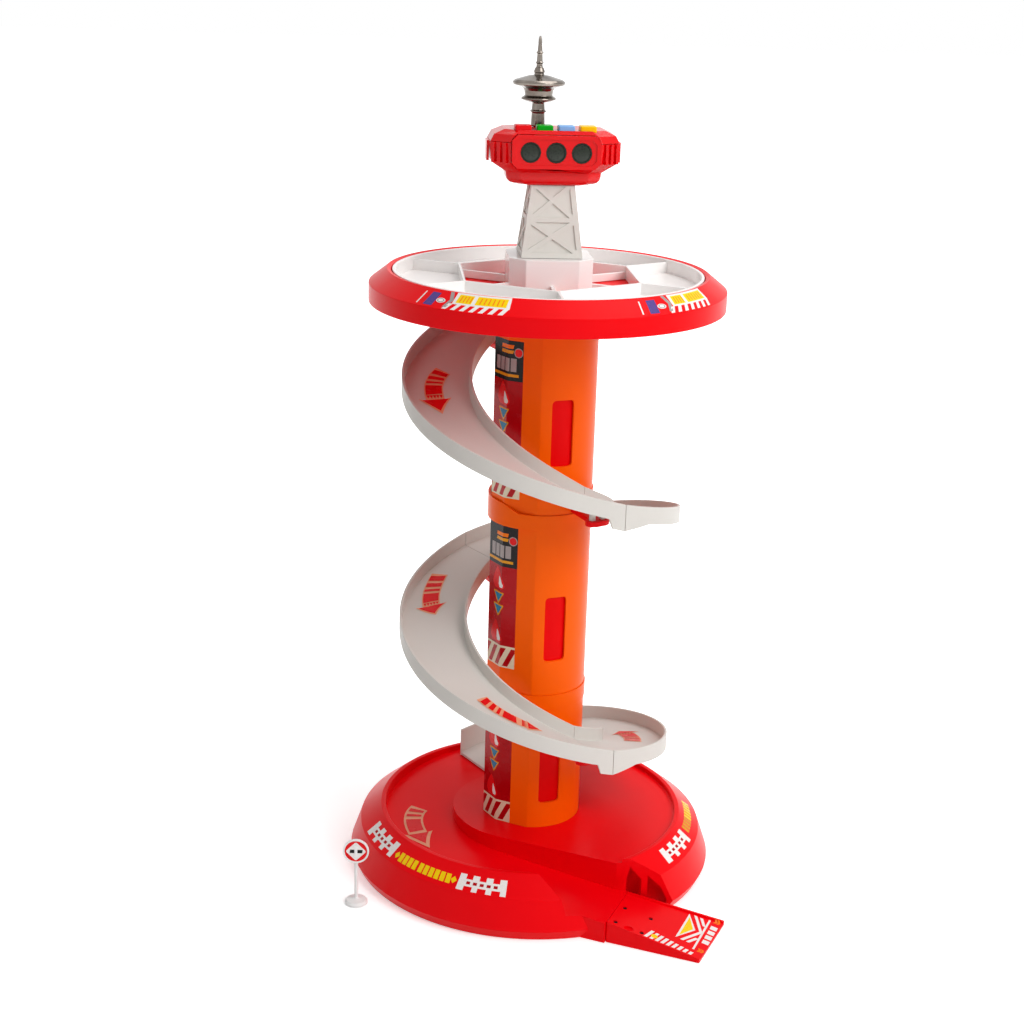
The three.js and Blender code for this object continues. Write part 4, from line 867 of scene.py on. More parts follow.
@dataclass
class Label:
    """Thin printed films that follow a surface."""

    name: str
    wrap: Wrap
    grid: Pair = (2.5, 2.5)
    folds: tuple[float, ...] = ()
    ground: str | None = None
    lift: float = 0.07
    layer_step: float = 0.05
    film: float = 0.04

    def divided(self, piece: Piece, outline: Outline) -> None:
        """Cuts a flat patch along the label's grid and folds, so that it can follow the surface.

        Args:
            piece: The flat patch.
            outline: Its outline.
        """
        with Bench.editing(piece):
            for axis, pitch in enumerate(self.grid):
                low, high = (bound(spot[axis] for spot in outline) for bound in (min, max))
                places = [pitch * step for step in range(math.ceil(low / pitch), math.ceil(high / pitch))]
                if axis == 0:
                    places += self.folds
                normal = (1 - axis, axis, 0)
                for place in places:
                    if low < place < high:
                        bpy.ops.mesh.select_all(action="SELECT")
                        bpy.ops.mesh.bisect(plane_co=[place * MM * part for part in normal], plane_no=normal)

    def press(self, patches: Sequence[Patch]) -> Piece:
        """Lays the patches on the surface as closed films and seats them on the tower.

        Args:
            patches: The printed patches.

        Returns:
            The label.
        """
        films = []
        for patch in patches:
            piece = Bench.plate([Vector((u, v, 0)) for u, v in patch.outline])
            self.divided(piece, patch.outline)
            lift = self.lift + self.layer_step * (patch.layer - 1)
            for corner in piece.data.vertices:
                spot, out = self.wrap(corner.co.x / MM, corner.co.y / MM)
                corner.co = (spot + out * lift) * MM
            if self.ground:
                drop = piece.modifiers.new("lay", "SHRINKWRAP")
                drop.target = bpy.data.objects[self.ground]
                drop.wrap_method = "PROJECT"
                drop.wrap_mode = "ABOVE_SURFACE"
                drop.use_project_z = True
                drop.use_negative_direction = True
                drop.use_positive_direction = False
                drop.offset = lift * MM
                Bench.apply(piece)
            films.append(dress(piece, patch.ink))
        label = Bench.gather(films)
        thicken = label.modifiers.new("film", "SOLIDIFY")
        thicken.thickness = self.film * MM
        thicken.offset = 0
        Bench.apply(label)
        with Bench.editing(label):
            Bench.turn_out()
        Bench.smooth(label)
        report(label, self.name, "tower")
        return label


def box_patch(ink: Finish, low: Point, high: Point, lean: float = 0.0, layer: int = 1) -> Patch:
    """Patch between two corners, its upper side shifted along by a lean."""
    return Patch(ink, [low, (high[0], low[1]), (high[0] + lean, high[1]), (low[0] + lean, high[1])], layer)


def battlement(ink: Finish, low: Point, high: Point, teeth: int = 4) -> list[Patch]:
    """Band with square teeth on both sides, set against each other, and small marks along its middle.

    Args:
        ink: The band's ink.
        low: Its lower corner.
        high: Its upper corner.
        teeth: Teeth on a side.

    Returns:
        The patches.
    """
    (left, bottom), (right, top) = low, high
    pitch, rise = (right - left) / (teeth - 0.4), top - bottom
    upper, under = [], []
    for place in range(teeth):
        start = left + pitch * place
        end = min(start + pitch / 2, right)
        upper += [(start, top), (end, top), (end, top - rise * 0.28), (start + pitch, top - rise * 0.28)]
        start += pitch * 0.1
        under += [(start, bottom), (end, bottom), (end, bottom + rise * 0.28), (start + pitch, bottom + rise * 0.28)]
    upper[-2:], under[-2:] = [], []
    under[0] = (left, bottom)
    band = Patch(ink, upper + under[::-1])
    middle = (top + bottom) / 2
    marks = []
    for place in range(1, 2 * teeth - 2):
        start = left + pitch * (place / 2 + 0.1)
        mark_low, mark_high = (start, middle - rise * 0.09), (start + pitch * 0.28, middle + rise * 0.09)
        marks.append(box_patch(Finish.INK_DARK_RED, mark_low, mark_high, 0, 2))
    return [band, *marks]


@dataclass
class Arrow:
    """Printed arrow with bars, a block, a toothed edge and a head, along a bent line on a floor."""

    name: str
    ground: str
    start: Pair
    middle: Pair
    end: Pair
    level: Curve
    half: float = 7.4
    head: float = 13.0
    body: float = 0.74
    bars: tuple[Point, ...] = ((0.03, 0.15), (0.18, 0.28), (0.31, 0.38), (0.41, 0.64))
    border: float = 1.0
    teeth: int = 5
    lift: float = 0.3

    def spot(self, along: float, across: float) -> Spot:
        """Gives the point above the floor at a share along the line and a distance across it.

        Args:
            along: Hundredths of the line.
            across: Distance to its right.

        Returns:
            The point, and the way up.
        """
        start, middle, end = (polar(radius, azimuth) for radius, azimuth in (self.start, self.middle, self.end))
        share = along / 100
        pull = 2 * middle - (start + end) / 2
        place = start * (1 - share) ** 2 + pull * 2 * share * (1 - share) + end * share**2
        ahead = (pull - start) * (1 - share) + (end - pull) * share
        aside = Vector((ahead.y, -ahead.x, 0)).normalized()
        place += aside * across
        azimuth = math.degrees(math.atan2(place.x, -place.y))
        place.z = self.level(azimuth) + 4
        return place, Vector((0, 0, 1))

    def build(self) -> None:
        """Lays the arrow."""
        ink, neck, half, head = Finish.INK_RED, self.body * 100, self.half, self.head
        silhouette = [(0, -half), (neck, -half), (neck - 2, -head), (100, 0), (neck - 2, head), (neck, half), (0, half)]
        patches = [Patch(Finish.INK_SALMON, silhouette)]
        inner = half - self.border
        for start, end in self.bars:
            low, high = (start * 100, -inner), (end * 100 - 2, inner)
            patches.append(box_patch(ink, low, high, 2, 2))
        for place in range(self.teeth):
            left = -inner + 2 * inner * place / self.teeth
            right = left + 2 * inner / self.teeth
            patches.append(Patch(ink, [(neck - 8.5, left), (neck - 8.5, right), (neck - 1.5, (left + right) / 2)], 2))
        inset = self.border + 0.2
        point = [(neck, -head + 2 * inset), (100 - 4 * inset, 0), (neck, head - 2 * inset)]
        patches.append(Patch(ink, point, 2))
        Label(self.name, self.spot, (3, 3), ground=self.ground, lift=self.lift, layer_step=0.25).press(patches)


@dataclass
class Base:
    """Red base moulding with its sunken track, and the sloping exit plate clipped to its tongue."""

    foot_radius: float = 147.0
    wide_radius: float = 151.0
    wide_height: float = 8.6
    band_radius: float = 142.8
    band_height: float = 31.9
    crest_radius: float = 125.7
    crest_height: float = 45.5
    floor_radius: float = 122.0
    floor_height: float = 41.4
    wall: float = 2.6
    socket_floor: float = 6.0
    socket_wall: float = 3.1
    rib_wall: float = 2.0
    rib_count: int = 12
    track_inner: float = 65.0
    track_start: float = -150.0
    track_end_height: float = 28.0
    exit_turn: float = -22.0
    exit_slope: float = 0.1
    exit_near: float = 114.0
    crest_end: float = 53.0
    skirt_end: float = 80.0
    skirt_side: float = 123.0
    skirt_depth: float = 97.5
    reach: float = 210.0
    spread: float = 170.0
    tongue: Quad = (60.0, 110.0, 64.0, 116.0)
    skirt_openings: tuple[Outline, ...] = (
        ((0.1, 0.0), (0.1, 0.62), (0.16, 0.84), (0.38, 0.6), (0.38, 0.0)),
        ((0.5, 0.0), (0.5, 0.68), (0.76, 0.46), (0.88, 0.22), (0.88, 0.0)),
    )
    end_rib: Pair = (-89.0, -87.0)
    clips: Pair = (78.0, 100.0)
    gap: float = 0.3
    plate_tip: float = 187.5
    plate_heights: Pair = (16.2, 1.6)
    plate_wall: float = 2.5
    plate_lip: float = 1.6
    recess: Quad = (127.0, 109.5, 4.0, 1.2)
    screw_spots: tuple[Point, ...] = ((115.5, 84.4), (115.5, 107.0), (137.0, 84.4), (137.0, 107.0))
    edge_rounding: float = 1.1
    track_overlap: int = 1
    steps: int = 160

    @property
    def exit_frame(self) -> Matrix:
        """Frame of the exit: X along the way out, Y away from the near side."""
        return about(self.exit_turn)

    def exit_outline(self, grow: float) -> list[Point]:
        """Outline of the straight way out in the exit's frame, grown by a wall.

        Args:
            grow: Wall or gap that it is grown by.

        Returns:
            Its corners.
        """
        turn = math.radians(self.exit_turn)
        outer = self.floor_radius + grow
        near = -self.exit_near - grow
        knee = (self.skirt_depth - grow + (grow - self.track_inner) * math.cos(turn)) / -math.sin(turn)
        far = self.exit_frame.inverted() @ Vector((self.spread, grow - self.skirt_depth, 0))
        tail = math.degrees(math.acos(-near / outer))
        return [
            (0, grow - self.track_inner),
            (knee, grow - self.track_inner),
            (far.x, far.y),
            (self.reach, -self.spread),
            (self.skirt_end - grow, -self.spread),
            (self.skirt_end - grow, -self.skirt_side - grow),
            (self.crest_end, near),
            *arc(outer, tail, 0, 12),
        ]

    def track_space(self, grow: float) -> Piece:
        """Space above the sunken track and its straight way out, grown by a wall.

        Args:
            grow: Wall or gap that it is grown by.

        Returns:
            The solid.
        """
        floor = self.floor_height - grow
        height = 2 * self.track_end_height
        whole = self.exit_turn - self.track_start
        turn = whole + self.track_overlap
        inner, outer = self.track_inner - grow, self.floor_radius + grow
        drop = (self.track_end_height - self.floor_height) * turn / whole
        bend = Bench.screwed(oblong(inner, floor, outer, floor + height), round(turn), self.track_start, turn, drop)
        top = self.crest_height + 2 * self.wall
        straight = Bench.prism(self.exit_outline(grow), -top, top)
        Bench.sliced(straight, (0, 0, self.track_end_height - grow), (-self.exit_slope, 0, -1))
        return Bench.weld(bend, Bench.place(straight, self.exit_frame))

    def plate_space(self, grow: float) -> Piece:
        """Space of the exit plate, right down through the base."""
        space = Bench.prism(self.exit_outline(grow), -self.wall, self.crest_height + 2 * self.wall)
        Bench.sliced(space, (self.tongue[1] - grow, 0, 0), (-1, 0, 0))
        return Bench.place(space, self.exit_frame)

    def tongue_block(self, inset: float) -> Piece:
        """Block of the tongue under the way out, drawn in by a wall."""
        start, end, far, near = self.tongue
        low = (start, -near + inset, -inset)
        high = (end - inset, -far - inset, self.track_end_height)
        return Bench.place(Bench.block(low, high), self.exit_frame)

    def outer_profile(self) -> list[Point]:
        """Profile of the moulding's outside from the axis round to the axis.

        Returns:
            Its corners as radius and height.
        """
        corners = [
            (0, 0),
            (self.foot_radius, 0),
            (self.wide_radius, self.wide_height),
            (self.band_radius, self.band_height),
            (self.crest_radius, self.crest_height),
            (self.floor_radius, self.crest_height),
            (self.floor_radius, self.floor_height),
            (0, self.floor_height),
        ]
        soft = [spot for spot in softened(corners, self.edge_rounding, 4) if spot[0] > self.edge_rounding]
        return [corners[0], *soft, corners[-1]]

    def hollow(self) -> Piece:
        """Space under the moulding, between its walls and ribs.

        Returns:
            The solid.
        """
        under = self.floor_height - self.wall
        profile = [
            (0, -self.wall),
            (self.foot_radius - self.wall, -self.wall),
            (self.wide_radius - self.wall, self.wide_height),
            (self.band_radius - self.wall, self.band_height - self.wall / 2),
            (self.crest_radius, self.floor_height),
            (self.crest_radius - self.wall / 2, under),
            (0, under),
        ]
        space = Bench.spun(profile, self.steps, closed=False)
        socket = Bench.rod(Column.radius + self.socket_wall, -9, 60, sides=96)
        ribs = [
            Bench.place(
                Bench.block((-self.rib_wall / 2, 2, Column.radius), (self.rib_wall / 2, 60, 170)),
                facing(place * 360 / self.rib_count),
            )
            for place in range(self.rib_count)
        ]
        near, far = self.end_rib
        ribs.append(Bench.block((58, near, 0.4), (160, far, 60)))
        Bench.weld(space, self.tongue_block(self.wall))
        return Bench.cut(space, self.track_space(self.wall), self.plate_space(self.wall), socket, *ribs)

    def skirt_windows(self) -> list[Piece]:
        """The two openings in the end of the skirt beside the exit plate.

        Returns:
            Their solids.
        """
        inner = math.sqrt(self.floor_radius**2 - self.skirt_depth**2)
        outer = math.sqrt(self.wide_radius**2 - self.skirt_depth**2)
        windows = []
        for shares in self.skirt_openings:
            outline = [(inner + share * (outer - inner), rise * self.crest_height - 0.01) for share, rise in shares]
            window = Bench.prism(outline, self.skirt_depth - 2 * self.wall, self.skirt_depth + 1)
            windows.append(Bench.place(window, facing(0)))
        return windows

    def mould(self) -> Piece:
        """Makes the whole base moulding.

        Returns:
            The moulding.
        """
        body = Bench.spun(self.outer_profile(), self.steps, closed=False)
        Bench.weld(body, self.tongue_block(0))
        slots = []
        for side in self.clips:
            slot = Bench.block((self.tongue[1] - 6.3, -side - 6.3, 5.7), (self.tongue[1] + 3, 6.3 - side, 8.7))
            slots.append(Bench.place(slot, self.exit_frame))
        bore = Bench.prism(Column.outline(0.3), self.socket_floor, self.crest_height)
        Bench.cut(body, self.track_space(0), self.plate_space(0), bore, *self.skirt_windows(), *slots, self.hollow())
        return Bench.ease(body, 0.45, 2, 38)

    @property
    def plate_start(self) -> float:
        """Where the exit plate begins along the exit's frame."""
        return self.tongue[1] + self.gap

    @property
    def plate_slope(self) -> float:
        """How much the exit plate falls along its way."""
        high, low = self.plate_heights
        return (high - low) / (self.plate_tip - self.plate_start)

    def plate_outline(self, inset: float) -> list[Point]:
        """The exit plate's plan, drawn in by an inset."""
        start, tip = self.plate_start, self.plate_tip
        corners = [(start + inset, inset - 114), (tip - 2 - inset, inset - 112.5), (tip - inset, -49 - inset)]
        return [*corners, (start + inset, -63 - inset)]

    def exit_plate(self) -> Piece:
        """Makes the sloping plate with its side walls, holes, recess and clips.

        Returns:
            The plate.
        """
        start, level, roof = self.plate_start, self.plate_heights[0], self.crest_height
        normal = Vector((self.plate_slope, 0, 1))
        body = Bench.prism(softened(self.plate_outline(0), 1.2), 0, roof)
        Bench.sliced(body, (start, 0, level + 1.4), normal)
        lip = self.plate_lip
        way = [(start - 1, lip - 114), (190, lip - 112.4), (190, -49 - lip), (start - 1, -63 - lip)]
        space = Bench.prism(way, 0, roof)
        Bench.sliced(space, (start, 0, level), -normal)
        hollow = Bench.prism(self.plate_outline(self.plate_wall), -1, roof)
        Bench.sliced(hollow, (start, 0, level - self.plate_wall), normal)
        holes = [Bench.rod(1.8, -1, roof, row, -side, 32) for row, side in self.screw_spots]
        along, aside, radius, sunk = self.recess
        recess = Bench.rod(radius, level - sunk - self.plate_slope * (along - start), roof, along, -aside)
        Bench.cut(body, space, hollow, *holes, recess)
        Bench.ease(body, 0.35, 2, 38)
        clips = [
            Bench.ease(Bench.block((self.tongue[1] - 6, -side - 6, 6), (start + 2.5, 6 - side, 8.4)), 0.4)
            for side in self.clips
        ]
        return Bench.place(Bench.gather([body, *clips]), self.exit_frame)

    def exit_screws(self) -> Piece:
        """Makes the four dark screws sunk in the exit plate's holes.

        Returns:
            The screws.
        """
        screws = []
        for row, side in self.screw_spots:
            top = self.plate_heights[0] - self.plate_slope * (row - self.tongue[1]) - 0.5
            screw = Bench.ease(Bench.rod(1.75, top - 2, top, row, -side, 32), 0.3)
            arms = []
            for x, y in ((1.2, 0.25), (0.25, 1.2)):
                arms.append(Bench.block((row - x, -side - y, top - 0.5), (row + x, y - side, top + 1)))
            screws.append(Bench.cut(screw, *arms))
        return Bench.place(Bench.gather(screws), self.exit_frame)

    def build(self) -> None:
        """Builds and seats the base and its exit plate."""
        seat(self.mould(), "base_moulding", Finish.RED, "tower", "base")
        seat(self.exit_plate(), "exit_plate_moulding", Finish.RED, "tower", "exit_plate")
        seat(self.exit_screws(), "exit_plate_screws", Finish.BLACK, "tower")


@dataclass
class RoadSign:
    """Small white sign with a round head that stands beside the base."""

    x: float = -138.3
    y: float = -98.3
    foot: float = 9.2
    post: float = 1.5
    centre: float = 47.4
    head: float = 10.4
    back: float = 1.8
    face: float = 1.6

    def build(self) -> None:
        """Builds the post with its foot and the head with its clip."""
        profile = [(0, 0), (self.foot, 0), (self.foot, 1.6), (self.foot - 1.4, 3.2), (4, 3.7), (1.9, 4.4)]
        profile += [(self.post, 6), (self.post, self.centre - 0.4), (self.post - 0.4, self.centre), (0, self.centre)]
        post = Bench.spun(profile, 48, closed=False)
        Bench.place(post, moved(self.x, self.y))
        back = self.back
        rim = softened(oblong(self.head - 1.2, back, self.head, back + 2), 0.4)
        disc = [(0, back), *rim, (self.head - 1.3, back + self.face), (0, back + self.face)]
        head = Bench.spun(disc, 72, closed=False)
        Bench.place(head, facing(0, self.x, self.y, self.centre))
        sleeve = Bench.spun(oblong(back, -5.2, back + 2, 5.2), 40)
        clip = Bench.place(sleeve, moved(self.x, self.y, self.centre))
        seat(post, "sign_pole", Finish.SIGN_WHITE, "tower", "sign_post")
        seat(Bench.gather([head, clip]), "sign_head", Finish.SIGN_WHITE, "tower", "sign_disc")


@dataclass
class Column:
    """Orange column in three plugged sections, with the red liners behind its windows."""

    radius: float = 41.2
    wall: float = 2.2
    folds: tuple[float, ...] = (-71.5, -44.5)
    arc_start: float = -5.5
    arc_end: float = 249.5
    joint: float = 159.0
    pitch: float = 152.4
    top: float = 480.0
    collar: float = 12.2
    collar_proud: float = 0.8
    plug: float = 12.5
    plug_inset: float = 1.5
    plug_wall: float = 1.7
    root: float = 3.0
    rise: float = 14.6
    rise_left: float = 6.0
    rise_ends: tuple[float, ...] = (-45.0, -24.0, 60.0, 70.0)
    flange: Triple = (44.2, 457.0, 460.0)
    notch: Pair = (132.0, 207.0)
    windows: tuple[Point, ...] = ((62.9, 117.0), (188.5, 243.1), (350.8, 403.8))
    window_azimuth: float = 21.0
    window_width: float = 18.0
    door_spread: float = 22.5
    side_door: Pair = (112.0, 75.0)
    sills: tuple[float, ...] = (68.43, 261.27, 445.275)
    door_tops: tuple[float, ...] = (105.0, 298.5, 474.0)
    slot: Quad = (145.0, 7.0, 46.4, 465.0)
    liner_wall: float = 1.3
    gap: float = 0.3

    @staticmethod
    def outline(offset: float, steps: int = 84) -> list[Point]:
        """The column's plan, round but for three flat facets, drawn in or out by an offset."""
        radius = Column.radius + offset
        corners = [tuple(polar(radius, azimuth)[:2]) for azimuth in Column.folds]
        return corners + arc(radius, Column.arc_start, Column.arc_end, steps)

    def opening(self, azimuth: float, width: float, bottom: float, top: float, corner: float) -> Piece:
        """Solid that opens the wall at an azimuth."""
        cutter = Bench.prism(rounded_rectangle(width, bottom, top, corner, 8), self.radius / 2, 90)
        return Bench.place(cutter, facing(azimuth))

    def rise_ring(self, inner: float, outer: float, grow: float) -> Piece:
        """Wall that stands higher round the back than in front, at the top of the middle section.

        Args:
            inner: Its inner radius.
            outer: Its outer radius.
            grow: Wall or gap that it is grown by.

        Returns:
            The solid.
        """
        back_left, front_left, front_right, back_right = self.rise_ends
        low = self.joint + self.pitch
        table = [
            (front_right - grow, low + grow),
            (back_right - grow, low + self.rise + grow),
            (back_left + 360 + grow, low + self.rise_left + grow),
            (front_left + 360 + grow, low + grow),
        ]
        height = blend_table(table)
        count = 110
        start, end = table[0][0], table[-1][0]
        sections = []
        for step in range(count + 1):
            azimuth = start + (end - start) * step / count
            top = height(azimuth) + 0.02
            sections.append(upright(oblong(inner, low - self.root, outer, top), azimuth))
        return Bench.lofted(sections)

    def section(self, place: int) -> Piece:
        """Makes one of the three sections, counted from the bottom.

        Args:
            place: 0 for the lowest, 2 for the highest.

        Returns:
            The section.
        """
        joint = self.joint + self.pitch * (place - 1)
        bottom = Base.socket_floor + self.gap if place == 0 else joint + self.gap
        top = self.top if place == 2 else joint + self.pitch
        body = Bench.prism(self.outline(0), bottom, top)
        walls, spaces = [], []
        if place == 0:
            spaces.append(Bench.prism(self.outline(-self.wall), bottom - 1, top + 1))
        else:
            root = joint + self.root + (self.rise if place == 2 else 0)
            walls.append(Bench.prism(self.outline(-self.plug_inset), joint - self.plug, root))
            spaces.append(Bench.prism(self.outline(-self.wall), root, top + 1))
            inner = self.outline(-self.plug_inset - self.plug_wall)
            spaces.append(Bench.prism(inner, joint - self.plug - 1, root + 1))
        if place < 2:
            walls.append(Bench.rod(self.radius + self.collar_proud, top - self.collar, top, sides=128))
            spaces.append(Bench.prism(self.outline(-1.2), top - self.plug - self.gap, top + 1))
        if place == 1:
            walls.append(self.rise_ring(self.radius - 1.2, self.radius + self.collar_proud, 0))
        if place == 2:
            radius, low, high = self.flange
            walls.append(Bench.rod(radius, low, high, sides=128))
            spaces.append(self.rise_ring(self.radius - self.plug_inset, radius, self.gap))
            start, end = self.notch
            notch = oblong(self.radius, low - 1, radius + 1, high + 1)
            spaces.append(Bench.spun(notch, 40, start, end - start))
        width = 2 * self.radius * math.sin(math.radians(self.door_spread))
        low, high = self.windows[place]
        spaces.append(self.opening(self.window_azimuth, self.window_width, low, high, 4))
        spaces.append(self.opening(180, width, self.sills[place], self.door_tops[place], 1.5))
        spaces.append(self.opening(*self.slot, 1.5))
        if place == 0:
            azimuth, top = self.side_door
            spaces.append(self.opening(azimuth, width, Base.floor_height, top, 1.5))
        for bracket in Brackets.places:
            spaces.append(Brackets.arm(bracket, self.gap))
        Bench.weld(body, *walls)
        Bench.cut(body, *spaces)
        return Bench.ease(body, 0.3, 2, 45)

    def liner(self, place: int) -> Piece:
        """Makes the bright red wall behind a window."""
        low, high = self.windows[place]
        outer = self.radius - self.wall - self.gap
        profile = oblong(outer - self.liner_wall, low - 9, outer, high + 9)
        return Bench.spun(softened(profile, 0.3), 24, -4, 39.5)

    def build(self) -> None:
        """Builds the sections and liners."""
        for place, (short, level) in enumerate((("low", "lower"), ("mid", "middle"), ("high", "upper"))):
            seat(self.section(place), f"column_{short}", Finish.ORANGE, "tower", f"column_{level}", 24)
            seat(self.liner(place), f"liner_{short}", Finish.WINDOW_RED, "tower", f"liner_{level}")


RIMS = {
    "top": blend_table([(150, 461.5), (214, 451.8)]),
    "upper_ramp": blend_table([(-146, 451.8), (34, 338.5)]),
    "upper_landing": blend_table([(34, 338.5), (214, 252)]),
    "lower_ramp": blend_table([(-146, 252), (34, 137)]),
    "lower_landing": blend_table([(34, 137), (214, 66)]),
}


@dataclass(frozen=True)
class BracketPlace:
    """Where a bracket stands: its joint's azimuth and the channel whose floor lies lowest over its arm."""

    name: str
    node: str
    joint: float
    rim: str
    shift: float

    @property
    def top(self) -> float:
        """Height of the bracket's upper face."""
        return RIMS[self.rim](self.joint + 16 + self.shift) - Channels.depth - Channels.floor - Column.gap


class Brackets:
    """Red arms that reach out of the column and carry the joints of the channels."""

    places = (
        BracketPlace("arm_top", "bracket_top", 214, "upper_ramp", -360),
        BracketPlace("arm_upper", "bracket_upper", 34, "upper_landing", 0),
        BracketPlace("arm_middle", "bracket_middle", 214, "lower_ramp", -360),
        BracketPlace("arm_lower", "bracket_lower", 34, "lower_landing", 0),
    )

    pad_radius = 77.0

    @staticmethod
    def bar(start: Vector, end: Vector, half: float, bottom: float, top: float) -> Piece:
        """Straight bar in plan with round ends."""
        turn = math.degrees(math.atan2(end.y - start.y, end.x - start.x)) + 90
        outline = arc(half, turn - 90, turn + 90, 16, end.x, end.y)
        return Bench.prism(outline + arc(half, turn + 90, turn + 270, 16, start.x, start.y), bottom, top)

    @staticmethod
    def arm(bracket: BracketPlace, grow: float) -> Piece:
        """Arm of a bracket with its hook, grown by a gap.

        Args:
            bracket: The bracket's place.
            grow: Wall or gap that it is grown by.

        Returns:
            The solid.
        """
        root = polar(36.2, bracket.joint + 11)
        pad = polar(Brackets.pad_radius, bracket.joint)
        top = bracket.top
        arm = Brackets.bar(root, pad, 5 + grow, top - 4 - grow, top + grow)
        hook = Brackets.bar(root, polar(Column.radius, bracket.joint + 11), 5 + grow, top - 7 - grow, top - 3 + grow)
        limit = Bench.rod(Column.radius - 2.5 + grow, top - 20, top + 20, sides=96)
        Bench.combine(hook, [limit], "INTERSECT")
        return Bench.weld(arm, hook)

    def build(self) -> None:
        """Builds the four brackets."""
        for bracket in self.places:
            piece = Bench.ease(Bench.twin(bracket.node), 0.4, 2, 40)
            seat(piece, bracket.name, Finish.RED, "tower", bracket.node)


@dataclass
class Channels:
    """Light grey car channels: two spiral ramps, two landings and the top landing."""

    inner: float = 57.0
    outer: float = 112.0
    wall: float = 2.0
    floor: float = 2.3
    depth: float = 11.2
    curb: float = 0.8
    step: float = 2.4
    joint_gap: float = 0.15
    apron_inner: float = 39.6
    ramp_span: Pair = (-146.0, 34.0)
    ramp_hem: Outline = ((28.0, 0.5), (28.3, 7.5))
    landing_span: Pair = (34.0, 214.0)
    landing_hem: Outline = ((34.0, 7.5), (47.0, 0.5))
    landing_inner: Outline = ((84.0, 1.0), (86.0, 0.0), (202.5, 0.0), (204.5, 1.0))
    low_depth: Outline = ((150.0, 11.2), (214.0, 22.0))
    top_span: Pair = (150.0, 214.0)
    apron_place: Pair = (158.7, 42.6)
    aprons: Triple = (71.03, 263.87, 447.875)

    def section(self, azimuth: float, rim: float, depth: float, inner_top: float, hem: float) -> list[Vector]:
        """Section of a channel at an azimuth, with rounded rims.

        Args:
            azimuth: Where it stands.
            rim: Height of its outer rim.
            depth: Height of that rim over the floor.
            inner_top: Height of its inner rim.
            hem: Height of the hem under its outer wall.

        Returns:
            Its corners.
        """
        floor = rim - depth
        under = floor - self.floor
        inner, outer, wall = self.inner, self.outer, self.wall
        outline = [(inner, under), (outer - wall, under), (outer - wall, under - hem), (outer, under - hem)]
        outline += [(outer, rim), (outer - wall, rim), (outer - wall, floor)]
        outline += [(inner + wall, floor), (inner + wall, inner_top), (inner, inner_top)]
        return upright(softened(outline, 0.55, 3), azimuth)

    def run(
        self,
        rim: Curve,
        start: float,
        end: float,
        hem: Sequence[Point],
        depth: Sequence[Point] = ((0, 11.2),),
        inner: Sequence[Point] = ((0, 1),),
    ) -> Piece:
        """Makes the trough of one channel.

        Args:
            rim: Height of its rim at an azimuth.
            start: Azimuth of its upper end.
            end: Azimuth of its lower end.
            hem: Table of the hem under its outer wall.
            depth: Table of its depth.
            inner: Table of how far its inner wall stands up, as a share.

        Returns:
            The closed solid.
        """
        spots = {start + self.joint_gap, end - self.joint_gap}
        count = round((end - start) / self.step)
        spots |= {start + (end - start) * step / count for step in range(1, count)}
        for table in (hem, depth, inner):
            for azimuth, _ in table:
                if start < azimuth < end:
                    ends = (min(spots), max(spots))
                    spots = {spot for spot in spots if abs(spot - azimuth) > self.step / 4 or spot in ends}
                    spots.add(azimuth)
        hem_at, depth_at, inner_at = blend_table(hem), blend_table(depth), blend_table(inner)
        sections = []
        for azimuth in sorted(spots):
            top, deep = rim(azimuth), depth_at(azimuth)
            low = top - deep + self.curb
            share = inner_at(azimuth)
            sections.append(self.section(azimuth, top, deep, low + share * (top - low), hem_at(azimuth)))
        return Bench.lofted(sections)

    def apron(self, rim: Curve, depth: Sequence[Point], height: float) -> list[Piece]:
        """Sill that carries a car from the lift's door, with the wall under its outer edge.

        Args:
            rim: Height of the channel's rim at an azimuth.
            depth: Table of its depth.
            height: The sill's height.

        Returns:
            The sill and its riser.
        """
        start, turn = self.apron_place
        edge = self.inner + self.wall
        profile = oblong(self.apron_inner, height - self.floor, edge, height)
        sill = Bench.spun(softened(profile, 0.3), 24, start, turn)
        depth_at = blend_table(depth)
        sections = []
        for step in range(13):
            azimuth = start + turn * step / 12
            floor = rim(azimuth) - depth_at(azimuth)
            low, high = min(floor, height) - self.floor + 0.02, max(floor, height) - 0.02
            sections.append(upright(oblong(self.inner, low, edge + self.wall, high), azimuth))
        return [sill, Bench.lofted(sections)]

    def way(self, height: float, top: float) -> Piece:
        """Way over a sill, cut through the channel's inner edge."""
        edge = self.inner + self.wall + 0.01
        return Bench.spun(oblong(self.inner - 1, height, edge, top), 24, *self.apron_place)

    def post(self, bracket: BracketPlace, side: int, rim: Curve, shift: float = 0) -> Piece:
        """Round foot under a channel on a bracket's pad, with its pin.

        Args:
            bracket: The bracket that it stands on.
            side: 1 after the joint, -1 before it.
            rim: Height of the channel's rim at an azimuth.
            shift: Degrees from the bracket to the same place in that table.

        Returns:
            The post.
        """
        azimuth = bracket.joint + side * 3.5
        spot = polar(Brackets.pad_radius, azimuth)
        pad = bracket.top
        top = rim(azimuth + shift) - self.depth - self.floor / 2
        profile = [(0, pad - 3), (1.4, pad - 3), (1.4, pad + 0.3), (2.5, pad + 0.3), (2.5, top), (0, top)]
        return Bench.place(Bench.spun(profile, 32, closed=False), moved(spot.x, spot.y))

